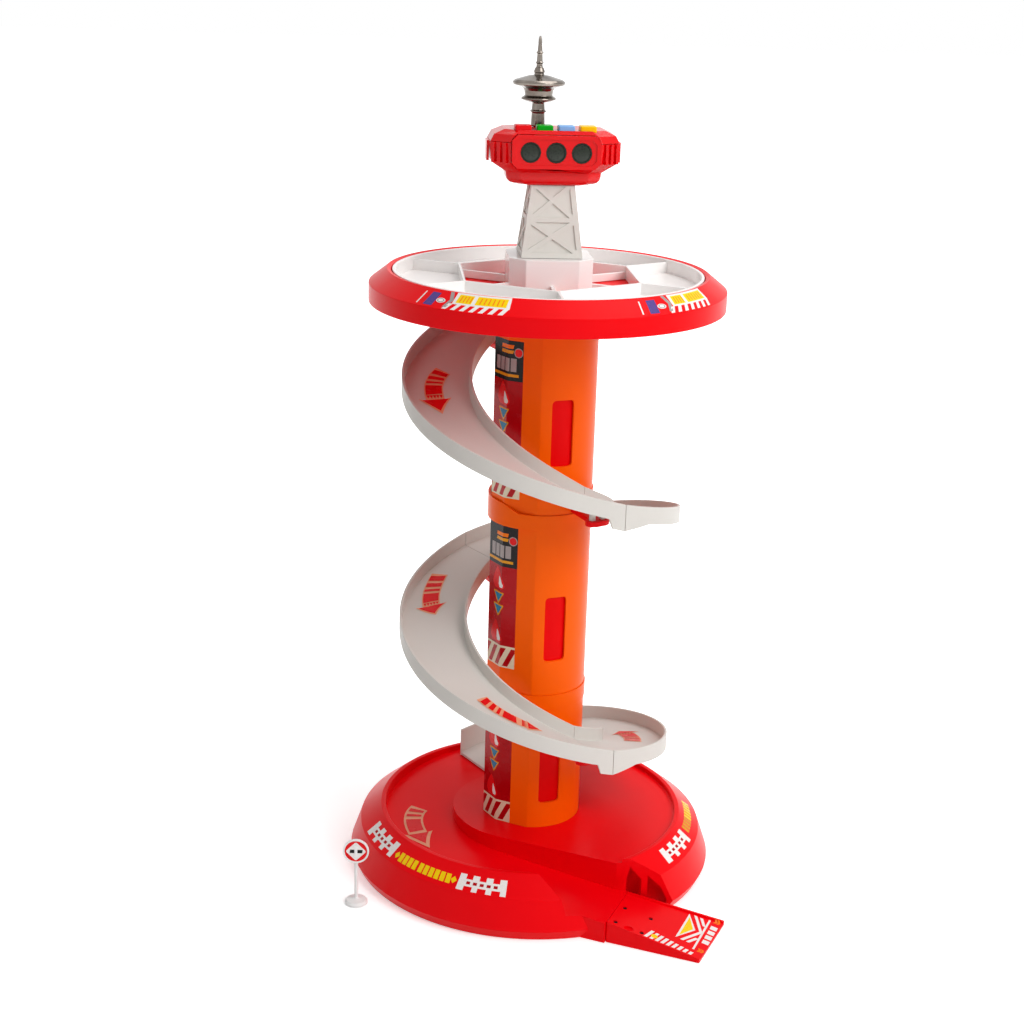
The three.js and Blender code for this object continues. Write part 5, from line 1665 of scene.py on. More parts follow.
    def build(self) -> None:
        """Builds the five channels."""
        top, upper, middle, lower = Brackets.places
        even = ((0, self.depth),)
        for name, node, rim, ends in (
            ("ramp_high", "ramp_upper", RIMS["upper_ramp"], (top, upper)),
            ("ramp_low", "ramp_lower", RIMS["lower_ramp"], (middle, lower)),
        ):
            trough = self.run(rim, *self.ramp_span, self.ramp_hem)
            pieces = [trough, self.post(ends[0], 1, rim, -360), self.post(ends[1], -1, rim)]
            seat(Bench.gather(pieces), name, Finish.GREY, "tower", node)
        for name, node, key, depth, apron, ends in (
            ("landing_high", "landing_upper", "upper_landing", even, self.aprons[1], (upper, middle)),
            ("landing_low", "landing_lower", "lower_landing", self.low_depth, self.aprons[0], (lower, None)),
        ):
            rim = RIMS[key]
            trough = self.run(rim, *self.landing_span, self.landing_hem, depth, self.landing_inner)
            Bench.cut(trough, self.way(apron, rim(157.5) + 2))
            pieces = [trough, *self.apron(rim, depth, apron), self.post(ends[0], 1, rim)]
            if ends[1]:
                pieces.append(self.post(ends[1], -1, rim))
            seat(Bench.gather(pieces), name, Finish.GREY, "tower", node)
        rim = RIMS["top"]
        start, end = self.top_span
        trough = self.run(rim, start, end, ((0, 0.5),), even, self.landing_inner[2:])
        Bench.cut(trough, self.way(self.aprons[2], 470))
        profile = oblong(self.inner, rim(start) - self.depth - 1, self.outer, rim(start) - self.floor)
        stop = Bench.spun(profile, 2, start, 2)
        pieces = [trough, stop, *self.apron(rim, even, self.aprons[2]), self.post(top, -1, rim)]
        seat(Bench.gather(pieces), "landing_start", Finish.GREY, "tower", "landing_top")


@dataclass
class Lift:
    """White lift platform inside the column and the red knob that moves it from outside."""

    rest: float = 41.4
    thickness: float = 3.0
    inset: float = 4.6
    guard: float = 8.0
    guard_wall: float = 1.6
    open_from: float = 84.0
    open_to: float = 210.0
    lug: Quad = (6.0, 6.0, 14.0, 7.0)
    knob: Quad = (42.6, 54.0, 12.0, 14.0)
    gap: float = 0.3

    def car(self) -> Piece:
        """Makes the platform with its guard and the lug for the knob.

        Returns:
            The platform.
        """
        low = self.rest - self.thickness
        plate = Bench.ease(Bench.prism(Column.outline(-self.inset), low, self.rest), 0.4)
        fence = Bench.prism(Column.outline(-self.inset), low + 0.6, self.rest + self.guard)
        inside = Bench.prism(Column.outline(-self.inset - self.guard_wall), low, self.rest + 2 * self.guard)
        profile = oblong(15, low - 1, 45, self.rest + 20)
        way = Bench.spun(profile, 40, self.open_from, self.open_to - self.open_from)
        Bench.ease(Bench.cut(fence, inside, way), 0.3)
        width, bottom, top, reach = self.lug
        radius = Column.radius - self.inset
        post = Bench.block((-width / 2, self.rest - 1.5, radius - 5), (width / 2, self.rest + top, radius - 0.8))
        lug_high = (width / 2, self.rest + top, Column.radius + reach)
        lug = Bench.block((-width / 2, self.rest + bottom, radius - 5), lug_high)
        arm = Bench.ease(Bench.weld(post, lug), 0.4)
        Bench.place(arm, facing(Column.slot[0]))
        return Bench.gather([plate, fence, arm])

    def grip(self) -> Piece:
        """Makes the knob with its pocket for the lug and three ridges across its face.

        Returns:
            The knob.
        """
        inner, outer, width, height = self.knob
        middle = self.rest + (self.lug[1] + self.lug[2]) / 2
        outline = rounded_rectangle(width, middle - height / 2, middle + height / 2, 3, 8)
        grip = Bench.prism(outline, inner, outer - 0.8)
        half = self.lug[0] / 2 + self.gap
        low = (-half, self.rest + self.lug[1] - self.gap, inner - 1)
        Bench.cut(grip, Bench.block(low, (half, self.rest + self.lug[2] + self.gap, 48.5)))
        ridges = [
            Bench.ease(Bench.block((-4.5, middle + rise - 0.8, outer - 2), (4.5, middle + rise + 0.8, outer)), 0.5)
            for rise in (-3.6, 0.0, 3.6)
        ]
        Bench.ease(grip, 0.6, 3, 40)
        return Bench.place(Bench.gather([grip, *ridges]), facing(Column.slot[0]))

    def build(self) -> None:
        """Builds both pieces on the lift's body."""
        seat(self.car(), "lift_platform", Finish.WHITE, "lift", "lift_car")
        seat(self.grip(), "lift_grip", Finish.RED, "lift", "lift_knob")


@dataclass
class Deck:
    """Red deck ring with its sloped outer band, lip, sleeve and ribs."""

    sleeve_inner: float = 41.6
    sleeve_outer: float = 44.2
    sleeve_bottom: float = 460.3
    plate_bottom: float = 481.6
    plate_top: float = 484.0
    lip: float = 120.8
    crest: float = 124.0
    crest_height: float = 497.5
    edge: float = 138.0
    edge_top: float = 486.5
    edge_bottom: float = 472.0
    wall: float = 2.4
    rib_count: int = 12
    rib_drop: float = 7.0
    steps: int = 168

    def build(self) -> None:
        """Builds the deck."""
        profile = [
            (self.sleeve_inner, self.plate_bottom),
            (self.lip + self.wall, self.plate_bottom),
            (self.crest, self.crest_height - self.wall - 0.3),
            (self.edge - self.wall, self.edge_top - self.wall / 2),
            (self.edge - self.wall, self.edge_bottom),
            (self.edge, self.edge_bottom),
            (self.edge, self.edge_top),
            (self.crest, self.crest_height),
            (self.lip, self.crest_height - 1),
            (self.lip, self.plate_top),
            (self.sleeve_inner, self.plate_top),
        ]
        ring = Bench.spun(softened(profile, 0.9, 4), self.steps)
        tube = oblong(self.sleeve_inner, self.sleeve_bottom, self.sleeve_outer, self.plate_bottom + 0.2)
        sleeve = Bench.spun(softened(tube, 0.3), 110, 207, 285)
        ribs = []
        for place in range(self.rib_count):
            azimuth = place * 360 / self.rib_count
            if 132 <= azimuth <= 214:
                continue
            low = (-1, self.plate_bottom - self.rib_drop, self.sleeve_outer - 1.2)
            rib = Bench.block(low, (1, self.plate_bottom + 0.3, self.edge - 1.2))
            ribs.append(Bench.place(rib, facing(azimuth)))
        seat(Bench.gather([ring, sleeve, *ribs]), "deck_moulding", Finish.RED, "tower", "deck")


@dataclass
class ParkingWheel:
    """White parking carousel: round floor, rim, six dividers, inner hexagon, spokes and hub."""

    turn: float = 5.0
    bottom: float = 484.4
    floor: float = 2.0
    radius: float = 120.0
    rim: float = 2.5
    rim_height: float = 497.0
    wall: float = 2.0
    wall_height: float = 495.0
    hexagon_radius: float = 78.0
    spoke: Pair = (3.0, 6.0)
    hub_side: float = 64.0
    hub_chamfer: float = 11.8
    hub_top: float = 509.7
    hub_wall: float = 2.4
    bore: float = 14.0
    bearing: float = 8.3
    shelf: float = 498.0
    steps: int = 168

    def hexagon(self, radius: float) -> list[Point]:
        """Corners of a hexagon in plan."""
        return [tuple(polar(radius, place * 60)[:2]) for place in range(6)]

    def hub_outline(self, inset: float) -> list[Point]:
        """Plan of the hub, square with cut corners."""
        side = self.hub_side / 2 - inset
        corner = side - self.hub_chamfer
        points = [(side, -corner), (side, corner), (corner, side), (-corner, side), (-side, corner), (-side, -corner)]
        return points + [(-corner, -side), (corner, -side)]

    def around(self, low: Sequence[float], high: Sequence[float], count: int = 6) -> list[Piece]:
        """Models one bar in the frame that faces outwards, and copies it round the axis.

        Args:
            low: Lowest corner of the bar.
            high: Highest corner.
            count: How many there are.

        Returns:
            The bars.
        """
        first = Bench.ease(Bench.block(low, high), 0.45, 3)
        bars = []
        for place in range(1, count):
            bars.append(Bench.place(Bench.added("bar", first.data.copy()), facing(place * 360 / count)))
        return [Bench.place(first, facing(0)), *bars]

    def build(self) -> None:
        """Builds the wheel."""
        thickness = self.wall / math.cos(math.pi / 6)
        floor = Bench.prism(circle(self.radius - 1, self.steps), self.bottom, self.bottom + self.floor)
        opening = Bench.prism(self.hexagon(self.hexagon_radius - 1), self.bottom - 1, self.bottom + 5)
        Bench.cut(floor, opening)
        band = oblong(self.radius - self.rim, self.bottom, self.radius, self.rim_height)
        rim = Bench.spun(softened(band, 0.8, 4), self.steps)
        fence = Bench.prism(softened(self.hexagon(self.hexagon_radius), 1.2), self.bottom, self.wall_height)
        inside = Bench.prism(self.hexagon(self.hexagon_radius - thickness), self.bottom - 1, self.rim_height)
        Bench.ease(Bench.cut(fence, inside), 0.45, 3, 40)
        half = self.wall / 2
        low = (-half, self.bottom + 0.3, self.hexagon_radius - thickness / 2)
        dividers = self.around(low, (half, self.wall_height - 0.02, self.radius - self.rim / 2))
        width, height = self.spoke
        low = (-width / 2, self.bottom, self.hub_side / 2 - self.hub_wall / 2)
        spokes = self.around(low, (width / 2, self.bottom + height, self.hexagon_radius - thickness / 2))
        piece = Bench.gather([floor, rim, fence, *dividers, *spokes, *self.hub()])
        seat(Bench.place(piece, about(self.turn)), "wheel_moulding", Finish.WHITE, "carousel", "wheel")

    def hub(self) -> list[Piece]:
        """Makes the hub's box, web and bearing sleeve.

        Returns:
            The three pieces.
        """
        box = Bench.prism(softened(self.hub_outline(0), 2, 4), self.bottom, self.hub_top)
        inner = self.hub_outline(self.hub_wall)
        core = Bench.prism(inner, self.bottom - 1, self.hub_top - self.hub_wall)
        access = Bench.rod(self.bore, self.shelf + self.hub_wall, self.hub_top + 1, sides=72)
        Bench.ease(Bench.cut(box, core, access), 0.9, 3, 50)
        low = self.shelf - self.hub_wall
        web = Bench.prism(self.hub_outline(self.hub_wall / 2), low, self.shelf)
        Bench.cut(web, Bench.rod(self.bearing, low - 1, self.shelf + 1))
        wall = self.bearing + self.hub_wall
        bottom, top = self.bottom + self.floor, self.shelf - 1
        sleeve = Bench.spun(oblong(self.bearing, bottom, wall, top), 48)
        return [box, web, sleeve]


@dataclass
class Bearing:
    """Bearing cap, washer and screw that carry the carousel."""

    def build(self) -> None:
        """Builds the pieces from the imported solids, with their edges rounded."""
        for node, name, finish, width in (
            ("top_cap", "bearing_cap", Finish.ORANGE, 0.3),
            ("wheel_washer", "bearing_washer", Finish.STEEL, 0.15),
            ("wheel_screw", "bearing_screw", Finish.STEEL, 0.15),
        ):
            seat(Bench.ease(Bench.twin(node), width, 2, 40), name, finish, "tower", node)


@dataclass
class Mast:
    """Light grey tapered mast with crossed bars in sunken bays."""

    def build(self) -> None:
        """Builds the mast."""
        mast = Bench.ease(Bench.twin("mast"), 0.15, 2, 35)
        seat(mast, "lattice_mast", Finish.MAST_GREY, "carousel", "mast")


@dataclass
class Pod:
    """Glossy red control pod with its panel, windows, buttons and battery door."""

    turn: float = ParkingWheel.turn
    lens_pitch: float = 19.0
    lens_height: float = 589.0
    lens_radius: float = 7.4
    lens_back: float = 27.3
    button_pitch: float = 16.2
    button_size: Pair = (12.3, 13.0)
    button_place: float = -15.0
    button_top: float = 608.0
    button_flange: float = 602.5
    colours: tuple[str, ...] = ("red", "green", "blue", "yellow")
    half_length: float = 48.8
    half_depth: float = 27.0
    depth_share: float = 0.45
    chamfers: Pair = (0.29, 0.34)
    middle: float = 586.0
    edge_rounding: float = 1.6
    rounded_turns: Pair = (10.0, 70.0)
    roof_clear: float = 16.0
    ledge_wall: float = 1.4
    ledges: tuple[tuple[Point, ...], ...] = (
        ((564.7, 18.2), (565.6, 15.6), (567.6, 13.6), (570.4, 12.9), (573.4, 12.6), (574.6, 13.2)),
        ((574.0, 12.0), (574.6, 10.6), (576.4, 9.2), (577.6, 8.8), (578.2, 9.6)),
    )

    def ring(self, height: float, inset: float) -> list[Vector]:
        """Level of the housing: an outline of eight rounded corners, drawn in less from front to back.

        Args:
            height: Its height.
            inset: How far it is drawn in at the ends.

        Returns:
            Its corners.
        """
        length, depth = self.half_length - inset, self.half_depth - self.depth_share * inset
        across, deep = length * (1 - self.chamfers[0]), depth * (1 - self.chamfers[1])
        corners = [(length, -deep), (length, deep), (across, depth), (-across, depth)]
        corners += [(-length, deep), (-length, -deep), (-across, -depth), (across, -depth)]
        return [Vector((x, y, height)) for x, y in softened(corners, 4, 4)]

    def rounded(self, piece: Piece) -> Piece:
        """Rounds the housing's own outer edges and leaves its ribs, bosses and openings.

        Args:
            piece: The housing.

        Returns:
            The piece.
        """
        mesh = piece.data
        middle = Vector((0, 0, self.middle * MM))
        sides: dict[tuple[int, int], list[bpy.types.MeshPolygon]] = {}
        for polygon in mesh.polygons:
            for key in polygon.edge_keys:
                sides.setdefault(key, []).append(polygon)
        chosen = []
        for edge in mesh.edges:
            faces = sides.get(tuple(sorted(edge.vertices)), [])
            if len(faces) != 2:
                continue
            spot = sum((mesh.vertices[corner].co for corner in edge.vertices), Vector()) / 2
            outward = min(face.normal.dot((face.center - middle).normalized()) for face in faces)
            turn = math.degrees(faces[0].normal.angle(faces[1].normal))
            low, high = self.rounded_turns
            clear = math.hypot(spot.x, spot.y) > self.roof_clear * MM
            if outward > 0.3 and low < turn < high and clear:
                chosen.append(edge.index)
        with Bench.editing(piece):
            bpy.ops.mesh.select_mode(type="EDGE")
            bpy.ops.mesh.select_all(action="DESELECT")
            bpy.ops.object.mode_set(mode="OBJECT")
            for index in chosen:
                mesh.edges[index].select = True
            bpy.ops.object.mode_set(mode="EDIT")
            bpy.ops.mesh.bevel(offset=self.edge_rounding * MM, segments=4, affect="EDGES", clamp_overlap=True)
        return piece

    @property
    def frame(self) -> Matrix:
        """Frame of the carousel."""
        return about(self.turn)

    def shells(self) -> None:
        """Builds the two shells, the panel and the battery door."""
        for node, name, width in (
            ("pod_lower", "housing_low", 0.55),
            ("pod_upper", "housing_high", 0.7),
            ("pod_panel", "front_panel", 0.7),
            ("battery_door", "battery_lid", 0.5),
        ):
            piece = Bench.twin(node)
            if node == "pod_panel":
                Bench.cut(piece, self.panel_field())
            if node in ("pod_lower", "pod_upper"):
                Bench.place(piece, self.frame.inverted())
                self.rounded(piece)
                Bench.place(piece, self.frame)
                Bench.ease(piece, 0.3, 2, 60)
            else:
                Bench.ease(piece, width, 3, 24)
            seat(piece, name, Finish.GLOSS_RED, "carousel", node)
        rings = []
        for levels in self.ledges:
            ledge = Bench.lofted([self.ring(height, inset) for height, inset in levels])
            (low, wide), (high, narrow) = levels[0], levels[-1]
            inner = [self.ring(low - 1, wide + 3 + self.ledge_wall), self.ring(high + 1, narrow + self.ledge_wall)]
            rings.append(Bench.cut(ledge, Bench.lofted(inner)))
        tiers = Bench.place(Bench.gather(rings), self.frame)
        seat(tiers, "housing_tiers", Finish.GLOSS_RED, "carousel", angle=50)

    def panel_field(self) -> Piece:
        """Makes the shallow space that leaves a raised frame round the front panel."""
        half, low, high, corner = 30.2, 579.8, 598.7, 3.6
        outline = [(-half, low + corner), (corner - half, low), (half - corner, low), (half, low + corner)]
        outline += [(half, high - corner), (half - corner, high), (corner - half, high), (-half, high - corner)]
        return Bench.place(Bench.prism(softened(outline, 0.8), 29, 32), self.frame @ facing(0))

    def windows(self) -> None:
        """Builds the three dark round windows, each with a fine step round it and a slightly domed face."""
        back, radius = self.lens_back, self.lens_radius
        dome = [(radius - 0.9, 28.5), (radius * 0.7, 28.9), (radius * 0.35, 29.15), (0, 29.2)]
        edge = [(radius - 0.2, 29.5), (radius - 0.6, 29.5), (radius - 0.9, 29.2)]
        profile = [(0, back - 1.4), (radius + 1.3, back - 1.4), (radius + 1.3, back), (radius, back), (radius, 29.3)]
        for place, side in enumerate(("left", "middle", "right")):
            piece = Bench.spun(profile + edge + dome, 64, closed=False)
            Bench.place(piece, self.frame @ facing(0, (place - 1) * self.lens_pitch, 0, self.lens_height))
            seat(piece, f"window_{side}", Finish.LENS, "carousel", f"lens_{side}")

    def buttons(self) -> None:
        """Builds the four press buttons."""
        width, depth = self.button_size
        flange = self.button_flange
        for place, colour in enumerate(self.colours):
            x = (place - 1.5) * self.button_pitch
            outline = rounded_rectangle(width, -depth / 2, depth / 2, 1.6)
            cap = Bench.ease(Bench.prism(outline, flange - 1, self.button_top), 0.9, 4, 50)
            skirt = Bench.prism(rounded_rectangle(width + 2, -depth / 2 - 1, depth / 2 + 1, 1), flange - 1.4, flange)
            stem = Bench.rod(2.4, flange - 3.4, flange - 0.7)
            piece = Bench.gather([cap, skirt, stem])
            Bench.place(piece, self.frame @ moved(x, self.button_place))
            node = f"button_{colour}"
            seat(piece, f"key_{colour}", Finish[node.upper()], node, node)

    def build(self) -> None:
        """Builds the whole pod."""
        self.shells()
        self.windows()
        self.buttons()


@dataclass
class Antenna:
    """Turned antenna with a wide bowl, on the pod's roof."""

    x: float = -11.0
    y: float = 8.0
    seat: float = 604.8
    radius: float = 20.0
    height: float = 66.0
    peg: Pair = (2.6, 5.0)
    shares: tuple[Point, ...] = (
        (0.27, 0), (0.25, 0.13), (0.25, 0.155), (0.33, 0.17), (0.25, 0.185), (0.23, 0.265), (0.5, 0.28),
        (0.67, 0.305), (0.63, 0.325), (0.52, 0.345), (0.55, 0.4), (0.62, 0.43), (0.97, 0.465), (1, 0.495),
        (0.9, 0.52), (0.4, 0.565), (0.17, 0.575), (0.21, 0.61), (0.16, 0.65), (0.12, 0.66), (0.115, 0.695),
        (0.17, 0.706), (0.115, 0.717), (0.1, 0.8), (0.15, 0.817), (0.095, 0.83), (0.06, 0.96), (0.04, 0.99),
    )  # fmt: skip

    def build(self) -> None:
        """Builds the antenna."""
        rings = [(share * self.radius, self.seat + rise * self.height) for share, rise in self.shares]
        radius, length = self.peg
        top = self.seat + self.height
        outline = [(radius - 0.8, self.seat - length), (radius, self.seat - length), (radius, self.seat), *rings]
        outline.append((0.3, top))
        soft = [spot for spot in softened(outline, 1.1, 3) if spot[0] > 0.2]
        start = next(place for place, spot in enumerate(soft) if spot[1] < self.seat - length + 1e-3)
        soft = soft[start:] + soft[:start]
        profile = [(0, self.seat - length), *[spot for spot in soft if spot[1] < top - 1e-3], (0, top)]
        piece = Bench.spun(profile, 96, closed=False)
        Bench.place(piece, about(ParkingWheel.turn) @ moved(self.x, self.y))
        seat(piece, "antenna_chrome", Finish.SMOKED_CHROME, "carousel", "antenna", 40)


@dataclass
class Prints:
    """Printed labels: arrows on the ways, strips on the column, and bands on base, deck, exit plate and sign."""

    deck_turn: float = 73.6
    strip: Pair = (-21.0, 13.0)
    strip_places: tuple[Triple, ...] = (
        (127.0, 41.6, 146.2),
        (264.5, 178.8, 298.6),
        (416.0, 322.0, 447.5),
    )
    arrows: tuple[Arrow, ...] = (
        Arrow("print_arrow_high", "ramp_high", (81.5, -100), (87, -85), (86, -65), RIMS["upper_ramp"]),
        Arrow("print_arrow_low", "ramp_low", (98, -123.5), (91.8, -107), (82.8, -94.5), RIMS["lower_ramp"]),
        Arrow(
            "print_arrow_front", "ramp_low", (80.8, -31.5), (81.5, -15), (77.5, 5), RIMS["lower_ramp"],
            half=5.8, head=7.6, body=0.8,
        ),
        Arrow("print_arrow_landing", "landing_low", (84, 84), (84.5, 102), (84, 118), RIMS["lower_landing"]),
        Arrow(
            "print_arrow_track", "base_moulding", (93.6, -89), (100.5, -74), (103, -52.3),
            blend_table([(-150, 52), (-22, 39)]), half=8, body=0.72,
            bars=((0.05, 0.16), (0.21, 0.3), (0.36, 0.68)), border=1.8, teeth=0,
        ),
    )  # fmt: skip

    @staticmethod
    def facet_spot(along: float, height: float) -> Spot:
        """Gives the point of the column's facets at a distance from its right fold, and the way out of it.

        Args:
            along: Distance from the right fold.
            height: Height of the point.

        Returns:
            The point and the way out.
        """
        left, right = (polar(Column.radius, fold) for fold in Column.folds)
        first, last = polar(Column.radius, Column.arc_end - 360), polar(Column.radius, Column.arc_start)
        width = (right - left).length
        if along > 0:
            start, way, gone = right, last - right, along
        elif along > -width:
            start, way, gone = left, right - left, along + width
        else:
            start, way, gone = first, left - first, along + width + (left - first).length
        way.normalize()
        spot = start + way * gone
        spot.z = height
        return spot, Vector((way.y, -way.x, 0))

    @staticmethod
    def cone(low: Pair, high: Pair) -> Wrap:
        """Makes the mapping of a sloped band: azimuth and share of the way up, in hundredths, to a point.

        Args:
            low: Radius and height of its lower edge.
            high: Radius and height of its upper edge.

        Returns:
            The mapping to a point and the way out of the surface.
        """

        def spot(azimuth: float, share: float) -> Spot:
            """Gives the point and the way out of the surface."""
            (start, bottom), (end, top) = low, high
            part = share / 100
            place = polar(start + (end - start) * part, azimuth, bottom + (top - bottom) * part)
            slope = Vector((top - bottom, start - end)).normalized()
            return place, polar(slope.x, azimuth, slope.y)

        return spot

    def droplet(self, x: float, z: float) -> list[Patch]:
        """Drop with a pale glint on its right side.

        Args:
            x: Its middle.
            z: Its height.

        Returns:
            The patches.
        """
        drop = [(x - 1, z + 10.5), (x - 6.5, z + 1), (x - 8, z - 5), (x - 5, z - 9), (x + 4.6, z - 9.6)]
        drop += [(x + 8, z - 6.6), (x + 6, z - 1)]
        glint = [(x + 1.4, z + 3), (x + 0.8, z - 5), (x + 2, z - 7.8), (x + 5.6, z - 7.6), (x + 6.2, z - 5.4)]
        return [Patch(Finish.INK_RED, softened(drop, 2, 3), 2), Patch(Finish.INK_WHITE, softened(glint, 0.8, 2), 3)]

    def chevrons(self, x: float, z: float) -> list[Patch]:
        """Two blue wedges that point down, edged in amber.

        Args:
            x: Their middle.
            z: Their height.

        Returns:
            The patches.
        """
        patches = []
        for top, height in ((z + 10.4, 10.4), (z - 0.2, 10.4)):
            edge = [(x - 7, top), (x + 7, top), (x + 2.8, top - height * 0.7), (x, top - height)]
            edge.append((x - 2.8, top - height * 0.7))
            patches.append(Patch(Finish.INK_AMBER, softened(edge, 0.8, 2), 2))
            wedge = [(x - 5.6, top - 1.1), (x + 5.6, top - 1.1), (x, top - height * 0.84)]
            patches.append(Patch(Finish.INK_BLUE, wedge, 3))
        return patches

    def column_strip(self, place: int) -> None:
        """Lays the strip of one column section: stripes, drops and wedges on dark red, and a black head.

        Args:
            place: The section, counted from the bottom.
        """
        zero, low, high = self.strip_places[place]
        left, right = self.strip
        bottom, top = low + 1.2, low + 16.8
        patches = [
            box_patch(Finish.INK_DARK_RED, (left, top + 1.8), (right, zero)),
            box_patch(Finish.INK_BLACK, (left, zero), (right, high)),
            box_patch(Finish.INK_CREAM, (left, low), (right, top + 1.8)),
        ]
        lean = (top - bottom) * 0.5
        for start in (-26.2, -16.8, -7.4, 2.0, 11.4):
            bar = [(start, bottom), (start + 4.8, bottom), (start + 4.8 + lean, top), (start + lean, top)]
            sides = [(min(max(x, left), right), z) for x, z in bar]
            if max(x for x, _ in sides) - min(x for x, _ in sides) > 3:
                patches.append(Patch(Finish.INK_DARK_RED, self.trimmed(bar), 2))
        patches += self.droplet(-5.2, zero - 10.5) + self.chevrons(-4.6, zero - 32.5) + self.droplet(-6.5, zero - 56)
        head = [
            box_patch(Finish.INK_AMBER, (left + 1.5, zero + 3.2), (9.4, zero + 5.4), 0, 2),
            box_patch(Finish.INK_AMBER, (-9, zero + 21.4), (4.2, zero + 24), 0.8, 2),
            box_patch(Finish.INK_ORANGE, (-9, zero + 25.2), (4.2, zero + 28.2), 0.8, 2),
            Patch(Finish.INK_GREY, circle(3.8, 24, 8.9, zero + 22.4), 2),
            Patch(Finish.INK_RED, circle(3.1, 24, 8.9, zero + 22.4), 3),
        ]
        for x in (-15.6, -9.6, -3.6, 2.4):
            head.append(box_patch(Finish.INK_GREY, (x, zero + 7.4), (x + 4.9, zero + 17.8), 0, 2))
        patches += [patch for patch in head if max(spot[1] for spot in patch.outline) < high - 0.8]
        name = ("print_strip_low", "print_strip_mid", "print_strip_high")[place]
        width = (polar(Column.radius, Column.folds[1]) - polar(Column.radius, Column.folds[0])).length
        Label(name, self.facet_spot, (60, 60), (0.0, -width)).press(patches)

    def trimmed(self, outline: Outline) -> list[Point]:
        """Cuts an outline off at the strip's sides.

        Args:
            outline: The outline.

        Returns:
            Its new corners.
        """
        for side, keep in ((self.strip[0], 1), (self.strip[1], -1)):
            result = []
            for here, ahead in zip(outline, [*outline[1:], outline[0]]):
                inside, next_inside = ((spot[0] - side) * keep >= 0 for spot in (here, ahead))
                if inside:
                    result.append(here)
                if inside != next_inside:
                    share = (side - here[0]) / (ahead[0] - here[0])
                    result.append((side, here[1] + (ahead[1] - here[1]) * share))
            outline = result
        return list(outline)

    def deck_sticker(self) -> None:
        """Lays the deck's sticker on the left and its copy on the right."""
        white, yellow, start = Finish.INK_WHITE, Finish.INK_YELLOW, -44.8
        patches = [
            box_patch(Finish.INK_WHITE, (start, 12), (start + 0.5, 80), 0.6),
            box_patch(Finish.INK_PURPLE, (start + 2.9, 12), (start + 6.4, 82), 0.7),
            Patch(white, [(start + 8.6 + x, 45 + y * 7.4) for x, y in circle(1.75, 20)]),
            Patch(Finish.INK_GREY, [(start + 8.6 + x, 45 + y * 7.4) for x, y in circle(1.35, 20)], 2),
            Patch(white, [(start + 8.6 + x, 45 + y * 7.4) for x, y in circle(0.95, 20)], 3),
        ]
        chevron = [(10.4, 96), (11.8, 96), (13.1, 55), (11.8, 14), (10.4, 14), (11.7, 55)]
        patches.append(Patch(Finish.INK_GREY, [(start + x, y) for x, y in chevron]))
        patches.append(box_patch(white, (start + 13.2, 36), (start + 32.4, 97), 0))
        patches.append(box_patch(yellow, (start + 14.2, 44), (start + 19.6, 88), 0.3, 2))
        patches.append(box_patch(yellow, (start + 20.9, 44), (start + 31.2, 88), 0.3, 2))
        marks = [*(start + 15.3 + step * 1.2 for step in range(4)), *(start + 22.3 + step * 1.45 for step in range(6))]
        patches += [box_patch(Finish.INK_ORANGE, (x, 50), (x + 0.35, 82), 0.3, 3) for x in marks]
        for step in range(7):
            left = start + 10.6 + step * 3.1
            patches.append(box_patch(white, (left, 5), (left + 1.5, 36.5), 1.5))
        wrap = self.cone((Deck.edge, Deck.edge_top), (Deck.crest, Deck.crest_height))
        first = Label("print_deck_left", wrap, (2, 50)).press(patches)
        twin = Bench.place(Bench.added("print_deck_right", first.data.copy()), about(self.deck_turn))
        report(twin, "print_deck_right", "tower")

    def base_bands(self) -> None:
        """Lays the prints of the base's upper band, on the left and on the right."""
        yellow = Finish.INK_YELLOW
        left = battlement(Finish.INK_WHITE, (-72.5, 12), (-52.6, 74))
        left += battlement(Finish.INK_WHITE, (-24.2, 6), (-7.2, 68))
        for middle in (-51.0, -25.9):
            left.append(Patch(yellow, [(middle - 1.1, 36), (middle, 22), (middle + 1.1, 36), (middle, 50)]))
        for step in range(10):
            start = -49.4 + step * 2.25 + (0.5 if step > 3 else 0)
            left.append(box_patch(yellow, (start, 18), (start + 1.75, 54), -0.35))
        right = battlement(Finish.INK_WHITE, (53.4, 18), (73.0, 78))
        for step in range(10):
            start = 75.2 + step * 2.2
            right.append(box_patch(yellow if step > 3 else Finish.INK_AMBER, (start, 36), (start + 1.7, 72), -0.35))
        wrap = self.cone((Base.band_radius, Base.band_height), (Base.crest_radius, Base.crest_height))
        Label("print_base_left", wrap, (2, 50), lift=0.09).press(left)
        Label("print_base_right", wrap, (2, 50), lift=0.09).press(right)

    def exit_prints(self) -> None:
        """Lays the exit plate's triangle, chevrons, bars and stripes."""
        white, yellow = Finish.INK_WHITE, Finish.INK_YELLOW

        def spot(along: float, across: float) -> Spot:
            """Gives the point above the plate at a place along it and across it."""
            place = Base().exit_frame @ Vector((along, -across, 22 - along * 0.189 + 20))
            return place, Vector((0, 0, 1))

